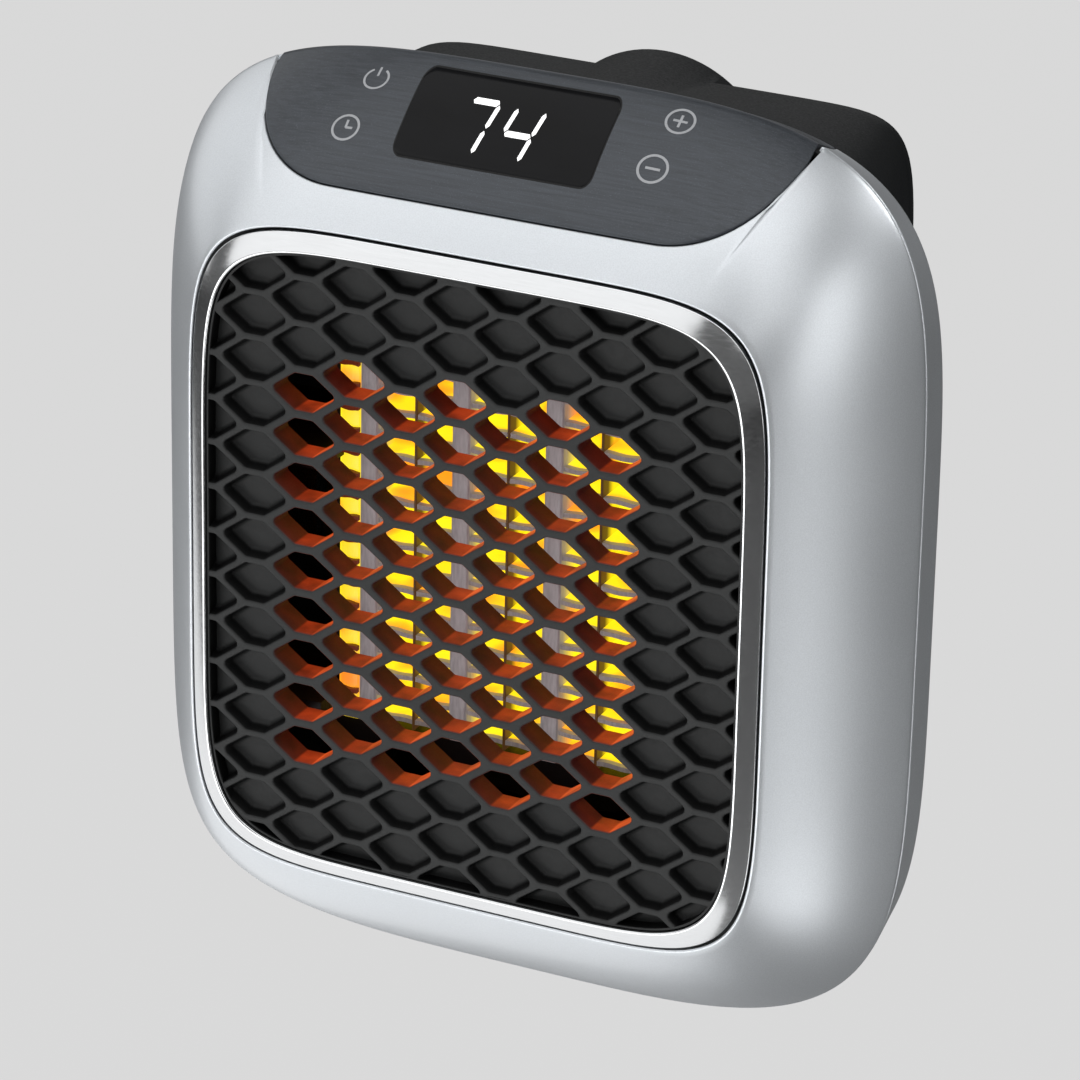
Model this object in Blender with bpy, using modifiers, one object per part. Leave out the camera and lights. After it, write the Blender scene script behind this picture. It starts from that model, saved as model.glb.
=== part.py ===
"""Plug-in ceramic fan heater, modelled piece by piece.

The origin is the centre of the plug's face, where it meets the wall plate. +Y points into the wall,
-Y is the front, +Z is up. All lengths are metres.
Depths are counted backwards from the plane of the trim ring's outer edge.
"""

import math

import bmesh
import bpy
from mathutils import Matrix, Vector

# Clearances and the overrun of every cut
GAP = 0.0003
OVERRUN = 0.004

# Outline of the body at its widest, and the run of the crown from there to the trim ring
BODY_WIDTH = 0.1328
BODY_HEIGHT = 0.1582
BODY_RISE = 0.0012
CROWN_RUN_SIDE = 0.0164
CROWN_RUN_END = 0.0235
RING_SEAM = 0.0006
BODY_SQUARENESS_ACROSS = 3.8
BODY_SQUARENESS_UP = 5.2
RING_SQUARENESS = 6.4

# Crowned front, which meets the straight band in a crease, and the band's rounded rear edge
CROWN_DEPTH = 0.0245
CROWN_START_ANGLE = math.radians(30)
CROWN_END_ANGLE = math.radians(60)
BAND_LENGTH = 0.0055
BAND_ROUND_DEPTH = 0.0047
BAND_ROUND_INSET = 0.0062
BAND_ROUND_ANGLE = math.radians(78)
SHELL_WALL = 0.0026
WELL_FLANGE_INSET = 0.0046
WELL_FLANGE_THICKNESS = 0.0020
REAR_LIP_THICKNESS = 0.0032

# Trim ring
RING_FACE_WIDTH = 0.0030
RING_FACE_RISE = 0.0019

# Grille: an elongated hexagon lattice
GRILLE_FACE_SINK = 0.0009
GRILLE_THICKNESS = 0.0050
GRILLE_RIM_THICKNESS = 0.0025
CELL_WIDTH = 0.0118
CELL_HEIGHT = 0.0062
CELL_FLAT = 0.0032
COLUMN_PITCH = 0.0089
ROW_PITCH = 0.0077
LATTICE_SHIFT_X = -0.0026
LATTICE_SHIFT_Z = 0.0018
POCKET_DEPTH = 0.0032
POCKET_FLOOR_SHARE = 0.80
OPEN_COLUMNS = 7
OPEN_ROWS = 9

# Control panel and display window
PANEL_THICKNESS = 0.0014
PANEL_SIDE_INSET = 0.0194
PANEL_HEIGHT = 0.0180
PANEL_CORNER_WIDTH = 0.0190
PANEL_CORNER_HEIGHT = 0.0150
PANEL_LEDGE = 0.0030
DISPLAY_WIDTH = 0.0310
DISPLAY_SHIFT_X = -0.0026
DISPLAY_BELOW_TOP = 0.0022
DISPLAY_ABOVE_BOTTOM = 0.0052
DISPLAY_CORNER = 0.0016

# Heater core
HEATER_STANDOFF = 0.0087
HEATER_DEPTH = 0.0120
HEATER_HEIGHT = 0.0680
BAR_PITCH = 0.0170
BAR_WIDTH = 0.0046
BAR_COUNT = 4
DIVIDER_THICKNESS = 0.0008
FIN_THICKNESS = 0.0004
FIN_PITCH = 0.0075
FIN_SINK = 0.0012
HEATER_FRAME_WALL = 0.0040
HEATER_EAR_OVERLAP = 0.0030
HEATER_EAR_HEIGHT = 0.0030
HEATER_EAR_SPREAD = 0.0220
CUTOUT_RADIUS = 0.0060
CUTOUT_THICKNESS = 0.0035

# Fan and motor
FAN_STANDOFF = 0.0050
FAN_RADIUS = 0.0340
FAN_DEPTH = 0.0130
FAN_DROP = 0.0080
FAN_HUB_RADIUS = 0.0120
FAN_HUB_WALL = 0.0016
FAN_HUB_WEB = 0.0040
BLADE_COUNT = 7
FIRST_BLADE_ANGLE = math.radians(5)
BLADE_TWIST = math.radians(42)
BLADE_SPAN_ANGLE = math.radians(34)
BLADE_THICKNESS = 0.0014
FAN_TIP_CLEARANCE = 0.0015
SHROUD_WALL = 0.0018
SHROUD_FLANGE = 0.0060
SHAFT_RADIUS = 0.0015
MOTOR_RADIUS = 0.0150
MOTOR_LENGTH = 0.0162
MOTOR_STANDOFF = 0.0036
BRACKET_THICKNESS = 0.0016
BRACKET_ARM_WIDTH = 0.0060
BRACKET_ARMS = 3

# Rear housing
HOUSING_WALL = 0.0022
MOTOR_REAR_CLEARANCE = 0.0025
NECK_INSET = 0.0008
FLANGE_THICKNESS = 0.0026
REAR_TAPER_SIDE = 0.0218
REAR_TAPER_END = 0.0142
REAR_FACE_RISE = 0.0018
REAR_SQUARENESS = 11.0
REAR_FILLET = 0.0070
HUMP_MARGIN = 0.0036

# Air inlet slots in the rear wall
SLOT_HEIGHT = 0.0032
SLOT_PITCH = 0.0068
SLOT_COUNT = 9
SLOT_FIELD_RADIUS = 0.0330
SLOT_RIB = 0.0050

# Plug that turns in the hump
PLUG_BELOW_TOP = 0.0313
PLUG_PROUD = 0.0025
TURRET_RADIUS = 0.0152
TURRET_FLANGE_WIDTH = 0.0018
TURRET_FLANGE_THICKNESS = 0.0020
TURRET_LENGTH = 0.0120
RETAINER_THICKNESS = 0.0020
BLADE_SPACING = 0.0127
BLADE_WIDTH = 0.00635
PLUG_BLADE_THICKNESS = 0.0015
PLUG_BLADE_CHAMFER = 0.0005
BLADE_REACH = 0.0170
BLADE_TAIL = 0.0012
CONTACT_RING_WIDTH = 0.0024
CONTACT_RING_THICKNESS = 0.0010
OUTER_CONTACT_RADIUS = 0.0115
CARRIER_THICKNESS = 0.0018

# Main rocker switch on the left side
ROCKER_LENGTH = 0.0190
ROCKER_WIDTH = 0.0110
ROCKER_DEPTH = 0.0090
ROCKER_BEZEL = 0.0018
ROCKER_BEZEL_THICKNESS = 0.0016
ROCKER_CAP_PROUD = 0.0012
ROCKER_CAP_DEPTH = 0.0050
ROCKER_HEIGHT_ABOVE_CENTRE = -0.0060
ROCKER_SEAT_INSET = 0.0084
ROCKER_SEAT_MARGIN = 0.0045
ROCKER_SEAT_ROUNDING = 0.0022
ROCKER_SWING = math.radians(9)

# Boards
BOARD_THICKNESS = 0.0016
CONTROL_BOARD_MARGIN = 0.0150
CONTROL_BOARD_HEIGHT = 0.0160
DISPLAY_SEAT = 0.0018
DISPLAY_MODULE_WIDTH = 0.0280
DISPLAY_MODULE_MARGIN = 0.0008
DISPLAY_MODULE_DEPTH = 0.0045
PANEL_POST_RADIUS = 0.0012
PANEL_POST_MARGIN = 0.0024
TOUCH_SPRING_Z = 0.0040
TOUCH_SPRING_RADIUS = 0.0022
TOUCH_SPRING_WIRE = 0.0005
TOUCH_SPRING_TURNS = 2
POWER_BOARD_CLEARANCE = 0.0060
POWER_BOARD_HEIGHT = 0.0200
POWER_BOARD_RISE = 0.01445
COMPONENT_SHARE = 0.23
BOARD_POST_RADIUS = 0.0020
BOARD_POST_MARGIN = 0.0030
RELAY_WIDTH = 0.0150
RELAY_HEIGHT = 0.0110
RELAY_DEPTH = 0.0090
CAPACITOR_RADIUS = 0.0040
CAPACITOR_LENGTH = 0.0100

# Housing screws, in wells that open in the rear face
SCREW_SIDE_INSET = 0.0304
SCREW_END_INSET = 0.0246
SCREW_HEAD_RADIUS = 0.0030
SCREW_HEAD_HEIGHT = 0.0018
SCREW_SHANK_RADIUS = 0.0013
SCREW_LENGTH = 0.0100
SCREW_BOSS_WALL = 0.0020

# Counts of points round the outlines and circles
OUTLINE_POINTS = 48
INNER_OUTLINE_POINTS = 40
HOUSING_POINTS = 40
CROWN_STEPS = 5
ROUND_STEPS = 3
CIRCLE_POINTS = 24
HUMP_POINTS = 36
SMALL_CIRCLE_POINTS = 12
CORNER_CROWDING_SHARE = 0.6
REACH_HALVINGS = 40

# A border cell is kept where this share of its hexagon has enough corners inside the field
CELL_REACH_SHARE = 0.55
CELL_REACH_CORNERS = 3

# Shares of the rear fillet that draw the rear face in and flare the taper, and of the cap's depth
REAR_FILLET_SHARE = 0.5
REAR_FLARE_SHARE = 0.125
ROCKER_KEEL_SHARE = 0.333

# Depths, from the front to the wall
RING_FRONT = -RING_FACE_RISE
GRILLE_FRONT = RING_FRONT + GRILLE_FACE_SINK
GRILLE_BACK = GRILLE_FRONT + GRILLE_THICKNESS
GRILLE_RIM_FRONT = GRILLE_BACK - GRILLE_RIM_THICKNESS
FLANGE_FRONT = GRILLE_BACK + GAP
FLANGE_BACK = FLANGE_FRONT + WELL_FLANGE_THICKNESS
HEATER_FRONT = FLANGE_BACK + HEATER_STANDOFF
HEATER_BACK = HEATER_FRONT + HEATER_DEPTH
PARTING = CROWN_DEPTH
BAND_FRONT = PARTING + GAP
BAND_END = PARTING + BAND_LENGTH
BAND_BACK = BAND_END + BAND_ROUND_DEPTH
LIP_FRONT = BAND_BACK - REAR_LIP_THICKNESS
HOUSING_FLANGE_BACK = LIP_FRONT - GAP
HOUSING_FLANGE_FRONT = HOUSING_FLANGE_BACK - FLANGE_THICKNESS
FAN_FRONT = HEATER_BACK + FAN_STANDOFF
FAN_BACK = FAN_FRONT + FAN_DEPTH
MOTOR_FRONT = FAN_BACK + MOTOR_STANDOFF
MOTOR_BACK = MOTOR_FRONT + MOTOR_LENGTH
REAR_WALL_FRONT = MOTOR_BACK + MOTOR_REAR_CLEARANCE
REAR_WALL_BACK = REAR_WALL_FRONT + HOUSING_WALL
RING_TO_WALL = REAR_WALL_BACK + PLUG_PROUD
SCREW_SEAT = BAND_BACK + SCREW_BOSS_WALL
ROCKER_DEPTH_CENTRE = BAND_BACK + ROCKER_WIDTH / 2 + ROCKER_BEZEL + ROCKER_SEAT_MARGIN + GAP
POWER_BOARD_FRONT = MOTOR_FRONT + BRACKET_THICKNESS
POWER_BOARD_BACK = POWER_BOARD_FRONT + BOARD_THICKNESS

# Half sizes that several pieces share
BODY_HALF_WIDTH = BODY_WIDTH / 2
BODY_HALF_HEIGHT = BODY_HEIGHT / 2
RING_HALF_WIDTH = BODY_HALF_WIDTH - CROWN_RUN_SIDE
RING_HALF_HEIGHT = BODY_HALF_HEIGHT - CROWN_RUN_END
WELL_HALF_WIDTH = RING_HALF_WIDTH + RING_SEAM
WELL_HALF_HEIGHT = RING_HALF_HEIGHT + RING_SEAM
GRILLE_HALF_WIDTH = RING_HALF_WIDTH - RING_FACE_WIDTH - GAP
GRILLE_HALF_HEIGHT = RING_HALF_HEIGHT - RING_FACE_WIDTH - GAP
CORE_HALF_WIDTH = (BAR_COUNT - 1) * BAR_PITCH / 2 + BAR_WIDTH / 2
HEATER_EAR_REACH = WELL_HALF_WIDTH - WELL_FLANGE_INSET + HEATER_EAR_OVERLAP
REAR_HALF_WIDTH = BODY_HALF_WIDTH - REAR_TAPER_SIDE
REAR_HALF_HEIGHT = BODY_HALF_HEIGHT - REAR_TAPER_END
ROCKER_SEAT_HALF_WIDTH = BODY_HALF_WIDTH - ROCKER_SEAT_INSET
PANEL_HALF_WIDTH = BODY_HALF_WIDTH - PANEL_SIDE_INSET
CONTROL_BOARD_WIDTH = 2 * (PANEL_HALF_WIDTH - CONTROL_BOARD_MARGIN)
DISPLAY_HEIGHT = PANEL_HEIGHT - DISPLAY_BELOW_TOP - DISPLAY_ABOVE_BOTTOM
DISPLAY_MODULE_HEIGHT = DISPLAY_HEIGHT + 2 * DISPLAY_MODULE_MARGIN
HUMP_RADIUS = TURRET_RADIUS + HOUSING_WALL + HUMP_MARGIN

# Places across the body
SCREW_X = BODY_HALF_WIDTH - SCREW_SIDE_INSET
SCREW_Z = BODY_HALF_HEIGHT - SCREW_END_INSET
PANEL_POST_X = CONTROL_BOARD_WIDTH / 2 - PANEL_POST_MARGIN
TOUCH_SPRING_X = (DISPLAY_MODULE_WIDTH + CONTROL_BOARD_WIDTH) / 4
POWER_BOARD_WIDTH = 2 * (SCREW_X - SCREW_HEAD_RADIUS - SCREW_BOSS_WALL - POWER_BOARD_CLEARANCE)
BOARD_POST_X = POWER_BOARD_WIDTH / 2 - BOARD_POST_MARGIN
COMPONENT_X = POWER_BOARD_WIDTH * COMPONENT_SHARE

# Heights from the plug's axis, which is the origin's height
BODY_TOP_Z = PLUG_BELOW_TOP
BODY_Z = BODY_TOP_Z - BODY_HALF_HEIGHT
RING_Z = BODY_Z - BODY_RISE
REAR_Z = RING_Z + REAR_FACE_RISE
FAN_Z = RING_Z - FAN_DROP
ROCKER_Z = RING_Z + ROCKER_HEIGHT_ABOVE_CENTRE
POWER_BOARD_Z = REAR_Z - REAR_HALF_HEIGHT + POWER_BOARD_RISE
BOARD_POST_Z = POWER_BOARD_Z - POWER_BOARD_HEIGHT / 2 + BOARD_POST_RADIUS
PANEL_BOTTOM_Z = BODY_TOP_Z - PANEL_HEIGHT
DISPLAY_Z = BODY_TOP_Z - DISPLAY_BELOW_TOP - DISPLAY_HEIGHT / 2

SILVER = (0.50, 0.51, 0.53)
CHARCOAL = (0.045, 0.048, 0.054)
BLACK = (0.012, 0.012, 0.013)
BRIGHT = (0.75, 0.75, 0.76)
GREY_METAL = (0.42, 0.42, 0.44)
BRASS = (0.70, 0.50, 0.20)
GREEN = (0.02, 0.13, 0.05)
BLUE = (0.02, 0.08, 0.30)


def clear_scene():
    """Remove what a new scene holds."""
    for old in list(bpy.data.objects):
        bpy.data.objects.remove(old, do_unlink=True)


def make_collection(name):
    """A collection linked to the scene."""
    collection = bpy.data.collections.new(name)
    bpy.context.scene.collection.children.link(collection)
    return collection


clear_scene()
PARTS = make_collection("ceramic_heater")
CUTTERS = make_collection("ceramic_heater_cutters")


def finish(name, colour, roughness, metallic=0.0):
    """A Principled material."""
    material = bpy.data.materials.new(name)
    material.use_nodes = True
    shader = material.node_tree.nodes["Principled BSDF"]
    shader.inputs["Base Color"].default_value = (*colour, 1.0)
    shader.inputs["Roughness"].default_value = roughness
    shader.inputs["Metallic"].default_value = metallic
    return material


def at_depth(depth):
    """World Y of a depth behind the ring plane."""
    return depth - RING_TO_WALL


def place(name, mesh, material=None):
    """Link a mesh as a piece, or as a hidden cutter when it has no material."""
    piece = bpy.data.objects.new(name, mesh)
    if material:
        mesh.materials.clear()
        mesh.materials.append(material)
        PARTS.objects.link(piece)
    else:
        CUTTERS.objects.link(piece)
        piece.hide_render = True
        piece.display_type = "WIRE"
    return piece


def mesh_from(work, name):
    """Turn a bmesh into a mesh with its faces pointing out."""
    bmesh.ops.recalc_face_normals(work, faces=work.faces)
    mesh = bpy.data.meshes.new(name)
    work.to_mesh(mesh)
    work.free()
    return mesh


def shade_round(piece, degrees=35):
    """Shade a piece smooth and keep its sharp edges."""
    piece.data.shade_smooth()
    piece.data.set_sharp_from_angle(angle=math.radians(degrees))


def boolean(piece, other, operation, solver="EXACT"):
    """Add a Boolean with another object."""
    modifier = piece.modifiers.new(operation.lower() + "_" + other.name, "BOOLEAN")
    modifier.operation = operation
    modifier.solver = solver
    modifier.object = other


def cut(piece, *cutters):
    """Take cutters out of a piece."""
    for cutter in cutters:
        boolean(piece, cutter, "DIFFERENCE")


def join(piece, *others):
    """Add shapes to a piece."""
    for other in others:
        boolean(piece, other, "UNION")


def cylinder(name, radius, front, back, x=0.0, z=0.0, material=None, points=CIRCLE_POINTS):
    """A cylinder along Y between two depths, with its origin on its axis."""
    work = bmesh.new()
    bmesh.ops.create_cone(
        work, cap_ends=True, segments=points, radius1=radius, radius2=radius, depth=back - front
    )
    bmesh.ops.rotate(work, verts=work.verts, matrix=Matrix.Rotation(math.radians(-90), 3, "X"))
    piece = place(name, mesh_from(work, name), material)
    piece.location = (x, at_depth((front + back) / 2), z)
    return piece


def small_cylinder(name, radius, front, back, x=0.0, z=0.0, material=None):
    """A cylinder along Y with few sides, for screws, posts and bores."""
    return cylinder(name, radius, front, back, x, z, material, SMALL_CIRCLE_POINTS)


def screw_places():
    """X and Z of the four housing screws."""
    return [(sx * SCREW_X, BODY_Z + sz * SCREW_Z) for sx in (-1, 1) for sz in (-1, 1)]


def box(name, size, centre, material=None):
    """A box with its origin at its centre; centre is (x, depth, z)."""
    work = bmesh.new()
    bmesh.ops.create_cube(work, size=1)
    bmesh.ops.scale(work, verts=work.verts, vec=size)
    piece = place(name, mesh_from(work, name), material)
    piece.location = (centre[0], at_depth(centre[1]), centre[2])
    return piece


def prism(name, outline, front, back, material=None):
    """An XZ outline carried along Y between two depths."""
    work = bmesh.new()
    verts = [work.verts.new((x, at_depth(front), z)) for x, z in outline]
    face = work.faces.new(verts)
    grown = bmesh.ops.extrude_face_region(work, geom=[face])
    moved = [item for item in grown["geom"] if isinstance(item, bmesh.types.BMVert)]
    bmesh.ops.translate(work, verts=moved, vec=(0, back - front, 0))
    return place(name, mesh_from(work, name), material)


def rounded_box_outline(half_width, half_height, radius, x=0.0, z=0.0, steps=4):
    """A rectangle with round corners, counter-clockwise."""
    outline = []
    for quarter in range(4):
        sign_x = 1 if quarter in (0, 3) else -1
        sign_z = 1 if quarter in (0, 1) else -1
        for step in range(steps + 1):
            angle = math.pi / 2 * (quarter + step / steps)
            outline.append(
                (
                    x + sign_x * (half_width - radius) + radius * math.cos(angle),
                    z + sign_z * (half_height - radius) + radius * math.sin(angle),
                )
            )
    return outline


def ray_reach(c, s, across, up):
    """How far a ray runs to the curve |x| ** across + |z| ** up = 1."""
    low, high = 0.5, 1.5
    for _ in range(REACH_HALVINGS):
        middle = (low + high) / 2
        if abs(middle * c) ** across + abs(middle * s) ** up < 1:
            low = middle
        else:
            high = middle
    return (low + high) / 2


def superellipse(half_width, half_height, squareness, points):
    """Points of a superellipse, closer together at its corners."""
    across, up = squareness
    outline = []
    for index in range(points):
        even = 2 * math.pi * index / points
        angle = even + CORNER_CROWDING_SHARE * math.sin(4 * even) / 4
        c, s = math.cos(angle), math.sin(angle)
        reach = ray_reach(c, s, across, up)
        outline.append((half_width * reach * c, half_height * reach * s))
    return outline


class Section:
    """One superellipse section of a loft, square to Y."""

    def __init__(self, half_width, half_height, squareness, z, depth):
        self.half_width = half_width
        self.half_height = half_height
        self.squareness = squareness
        self.z = z
        self.depth = depth

    def points(self, count):
        """The section's points in space."""
        outline = superellipse(self.half_width, self.half_height, self.squareness, count)
        return [Vector((x, at_depth(self.depth), z + self.z)) for x, z in outline]

    def inset(self, inwards, backwards):
        """The same section drawn in and moved back."""
        return Section(
            self.half_width - inwards,
            self.half_height - inwards,
            self.squareness,
            self.z,
            self.depth + backwards,
        )


def loft(name, sections, material=None, points=OUTLINE_POINTS, ring=False):
    """Skin a row of sections; a ring closes on itself, a solid gets two end faces."""
    work = bmesh.new()
    rows = [[work.verts.new(p) for p in section.points(points)] for section in sections]
    pairs = list(zip(rows, rows[1:]))
    if ring:
        pairs.append((rows[-1], rows[0]))
    for row, following in pairs:
        for index in range(points):
            after = (index + 1) % points
            work.faces.new((row[index], row[after], following[after], following[index]))
    if not ring:
        work.faces.new(rows[0])
        work.faces.new(rows[-1])
    return place(name, mesh_from(work, name), material)


def offset_sections(sections, distance):
    """Sections of a parallel skin, distance inwards along the profile's normal."""
    moved = []
    for index, section in enumerate(sections):
        before = sections[max(index - 1, 0)]
        after = sections[min(index + 1, len(sections) - 1)]
        run = after.half_width - before.half_width
        sink = after.depth - before.depth
        length = math.hypot(run, sink)
        moved.append(section.inset(distance * sink / length, distance * run / length))
    return moved


def crown_sections():
    """The crowned front, from the trim ring's well to the parting plane."""
    sections = []
    start_sine, end_sine = math.sin(CROWN_START_ANGLE), math.sin(CROWN_END_ANGLE)
    start_cosine, end_cosine = math.cos(CROWN_START_ANGLE), math.cos(CROWN_END_ANGLE)
    across_change = BODY_SQUARENESS_ACROSS - RING_SQUARENESS
    up_change = BODY_SQUARENESS_UP - RING_SQUARENESS
    for step in range(CROWN_STEPS + 1):
        angle = CROWN_START_ANGLE + (CROWN_END_ANGLE - CROWN_START_ANGLE) * step / CROWN_STEPS
        spread = (math.sin(angle) - start_sine) / (end_sine - start_sine)
        sink = (start_cosine - math.cos(angle)) / (start_cosine - end_cosine)
        sections.append(
            Section(
                WELL_HALF_WIDTH + (BODY_HALF_WIDTH - WELL_HALF_WIDTH) * spread,
                WELL_HALF_HEIGHT + (BODY_HALF_HEIGHT - WELL_HALF_HEIGHT) * spread,
                (RING_SQUARENESS + across_change * spread, RING_SQUARENESS + up_change * spread),
                RING_Z + BODY_RISE * spread,
                CROWN_DEPTH * sink,
            )
        )
    return sections


def body_section(inset, depth):
    """The body's widest outline, drawn in, at a depth."""
    squareness = (BODY_SQUARENESS_ACROSS, BODY_SQUARENESS_UP)
    return Section(BODY_HALF_WIDTH - inset, BODY_HALF_HEIGHT - inset, squareness, BODY_Z, depth)


def band_sections(front):
    """The straight band and its rounded rear edge, from a front depth."""
    sections = [body_section(0, front), body_section(0, BAND_END)]
    for step in range(1, ROUND_STEPS + 1):
        angle = BAND_ROUND_ANGLE * step / ROUND_STEPS
        inset = BAND_ROUND_INSET * (1 - math.cos(angle)) / (1 - math.cos(BAND_ROUND_ANGLE))
        depth = BAND_END + BAND_ROUND_DEPTH * math.sin(angle) / math.sin(BAND_ROUND_ANGLE)
        sections.append(body_section(inset, depth))
    return sections


def well_section(outwards, depth):
    """The trim ring's well outline, grown outwards, at a depth."""
    squareness = (RING_SQUARENESS, RING_SQUARENESS)
    return Section(WELL_HALF_WIDTH + outwards, WELL_HALF_HEIGHT + outwards, squareness, RING_Z, depth)


def panel_outline(margin):
    """Front view of the control panel, grown by a margin."""
    half_width = PANEL_HALF_WIDTH + margin
    bottom = PANEL_BOTTOM_Z - margin
    corner_z = PANEL_BOTTOM_Z + PANEL_CORNER_HEIGHT
    corner_x = PANEL_HALF_WIDTH - PANEL_CORNER_WIDTH
    top = BODY_TOP_Z + OVERRUN
    right = []
    steps = 8
    for step in range(steps + 1):
        angle = math.pi / 2 * step / steps
        x = corner_x + (half_width - corner_x) * math.sin(angle)
        z = corner_z - (corner_z - bottom) * math.cos(angle)
        right.append((x, z))
    right.append((half_width, top))
    return right + [(-x, z) for x, z in reversed(right)]


def panel_layer(outside, inside, run_on=0.0):
    """Sections of a layer of the body's skin, which may run on past the rear edge."""
    skin = crown_sections()[1:] + band_sections(PARTING)[1:]
    if run_on:
        last, before = skin[-1], skin[-2]
        run = before.half_width - last.half_width
        sink = last.depth - before.depth
        length = math.hypot(run, sink)
        skin.append(last.inset(run_on * run / length, run_on * sink / length))
    outer = offset_sections(skin, -outside) if outside else skin
    inner = offset_sections(skin, inside)
    return outer + inner[::-1]


def make_panel_cutter(name, inside, margin):
    """The room that the panel needs in the shells, open outwards."""
    layer = loft(name, panel_layer(OVERRUN, inside, OVERRUN / 2), ring=True)
    bound = prism(name + "_bound", panel_outline(margin), RING_FRONT - OVERRUN, BAND_BACK + 2 * OVERRUN)
    boolean(layer, bound, "INTERSECT")
    return layer


def display_outline(margin):
    """Front view of the display window, grown by a margin."""
    half_width, half_height = DISPLAY_WIDTH / 2 + margin, DISPLAY_HEIGHT / 2 + margin
    return rounded_box_outline(half_width, half_height, DISPLAY_CORNER + margin, DISPLAY_SHIFT_X, DISPLAY_Z)


def make_front_shell():
    """The crowned front casing, with the well for the grille and four screw bosses."""
    outer = crown_sections()
    inner = [s for s in offset_sections(outer, SHELL_WALL) if s.half_width > WELL_HALF_WIDTH + SHELL_WALL]
    well = [
        well_section(SHELL_WALL, FLANGE_BACK),
        well_section(-WELL_FLANGE_INSET, FLANGE_BACK),
        well_section(-WELL_FLANGE_INSET, FLANGE_FRONT),
        well_section(0, FLANGE_FRONT),
    ]
    inner[-1].depth = PARTING
    silver = finish("silver_paint", SILVER, 0.34, 0.75)
    shell = loft("front_shell", outer + inner[::-1] + well, silver, ring=True)
    boss_radius = SCREW_SHANK_RADIUS + SCREW_BOSS_WALL
    boss_front = FLANGE_BACK - WELL_FLANGE_THICKNESS / 2
    boss_back = HOUSING_FLANGE_FRONT - GAP
    for number, (x, z) in enumerate(screw_places(), 1):
        boss = small_cylinder(f"front_boss_{number}", boss_radius, boss_front, boss_back, x, z)
        pilot = small_cylinder(
            f"front_pilot_{number}",
            SCREW_SHANK_RADIUS + GAP,
            boss_back - SCREW_LENGTH,
            boss_back + OVERRUN,
            x,
            z,
        )
        join(shell, boss)
        cut(shell, pilot)
    cut(shell, PANEL_ROOM)
    through = prism(
        "panel_through", panel_outline(-PANEL_LEDGE), RING_FRONT - OVERRUN, PARTING - PANEL_LEDGE
    )
    cut(shell, through)
    shade_round(shell)
    return shell


def make_rear_shell():
    """The silver band behind the parting line, with a lip that traps the rear housing."""
    outer = band_sections(BAND_FRONT)
    inner = [
        body_section(BAND_ROUND_INSET, LIP_FRONT),
        body_section(SHELL_WALL, LIP_FRONT),
        body_section(SHELL_WALL, BAND_FRONT),
    ]
    silver = finish("silver_band", SILVER, 0.34, 0.75)
    band = loft("rear_shell", outer + inner, silver, ring=True)
    cut(band, PANEL_ROOM)
    shade_round(band)
    return band


def make_control_panel():
    """The charcoal panel over the top, with the display window's hole."""
    charcoal = finish("charcoal_panel", CHARCOAL, 0.42, 0.3)
    panel = loft("control_panel", panel_layer(0, PANEL_THICKNESS), charcoal, ring=True)
    bound = prism("panel_bound", panel_outline(0), RING_FRONT - OVERRUN, BAND_BACK + OVERRUN)
    boolean(panel, bound, "INTERSECT")
    hole = prism("display_hole", display_outline(GAP), RING_FRONT - OVERRUN, BAND_END)
    cut(panel, hole)
    shade_round(panel)
    return panel


def make_display_window():
    """The glossy window, flush with the panel."""
    gloss = finish("display_gloss", BLACK, 0.08)
    window = loft("display_window", panel_layer(0, PANEL_THICKNESS), gloss, ring=True)
    bound = prism("display_bound", display_outline(0), RING_FRONT - OVERRUN, BAND_END)
    boolean(window, bound, "INTERSECT")
    shade_round(window)
    return window


def make_trim_ring():
    """The bright ring round the grille."""
    squareness = (RING_SQUARENESS, RING_SQUARENESS)

    def ring_section(inwards, depth):
        return Section(RING_HALF_WIDTH - inwards, RING_HALF_HEIGHT - inwards, squareness, RING_Z, depth)

    back = GRILLE_RIM_FRONT - GAP
    sections = [
        ring_section(0, 0),
        ring_section(0, back),
        ring_section(RING_FACE_WIDTH, back),
        ring_section(RING_FACE_WIDTH, RING_FRONT),
    ]
    chrome = finish("satin_chrome", BRIGHT, 0.22, 1.0)
    ring = loft("trim_ring", sections, chrome, ring=True)
    shade_round(ring)
    return ring


def hexagon(x, z, share=1.0):
    """An elongated hexagon of the lattice, scaled by a share."""
    half_width = CELL_WIDTH / 2 * share
    half_height = CELL_HEIGHT / 2 * share
    half_flat = CELL_FLAT / 2 * share
    return [
        (x + half_width, z),
        (x + half_flat, z + half_height),
        (x - half_flat, z + half_height),
        (x - half_width, z),
        (x - half_flat, z - half_height),
        (x + half_flat, z - half_height),
    ]


def lattice_cells():
    """Column, row and centre of each cell that the grille has room for, and whether it is open."""
    cells = []
    columns = int(GRILLE_HALF_WIDTH / COLUMN_PITCH) + 2
    rows = int(GRILLE_HALF_HEIGHT / ROW_PITCH) + 2
    half_columns = OPEN_COLUMNS // 2
    half_rows = OPEN_ROWS // 2
    for column in range(-columns, columns + 1):
        offset = 0 if (column + half_columns) % 2 else -ROW_PITCH / 2
        for row in range(-rows, rows + 1):
            x = LATTICE_SHIFT_X + column * COLUMN_PITCH
            z = LATTICE_SHIFT_Z + row * ROW_PITCH + offset
            is_open = abs(column) <= half_columns and abs(row) <= half_rows
            cells.append((x, RING_Z + z, is_open))
    return cells


def reaches_field(x, z, half_width, half_height):
    """Whether enough of a cell lies inside the lattice field, a superellipse about the ring's centre."""
    inner = 0
    for px, pz in hexagon(x, z, CELL_REACH_SHARE):
        across = abs(px / half_width) ** RING_SQUARENESS
        up = abs((pz - RING_Z) / half_height) ** RING_SQUARENESS
        inner += across + up < 1
    return inner >= CELL_REACH_CORNERS


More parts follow.
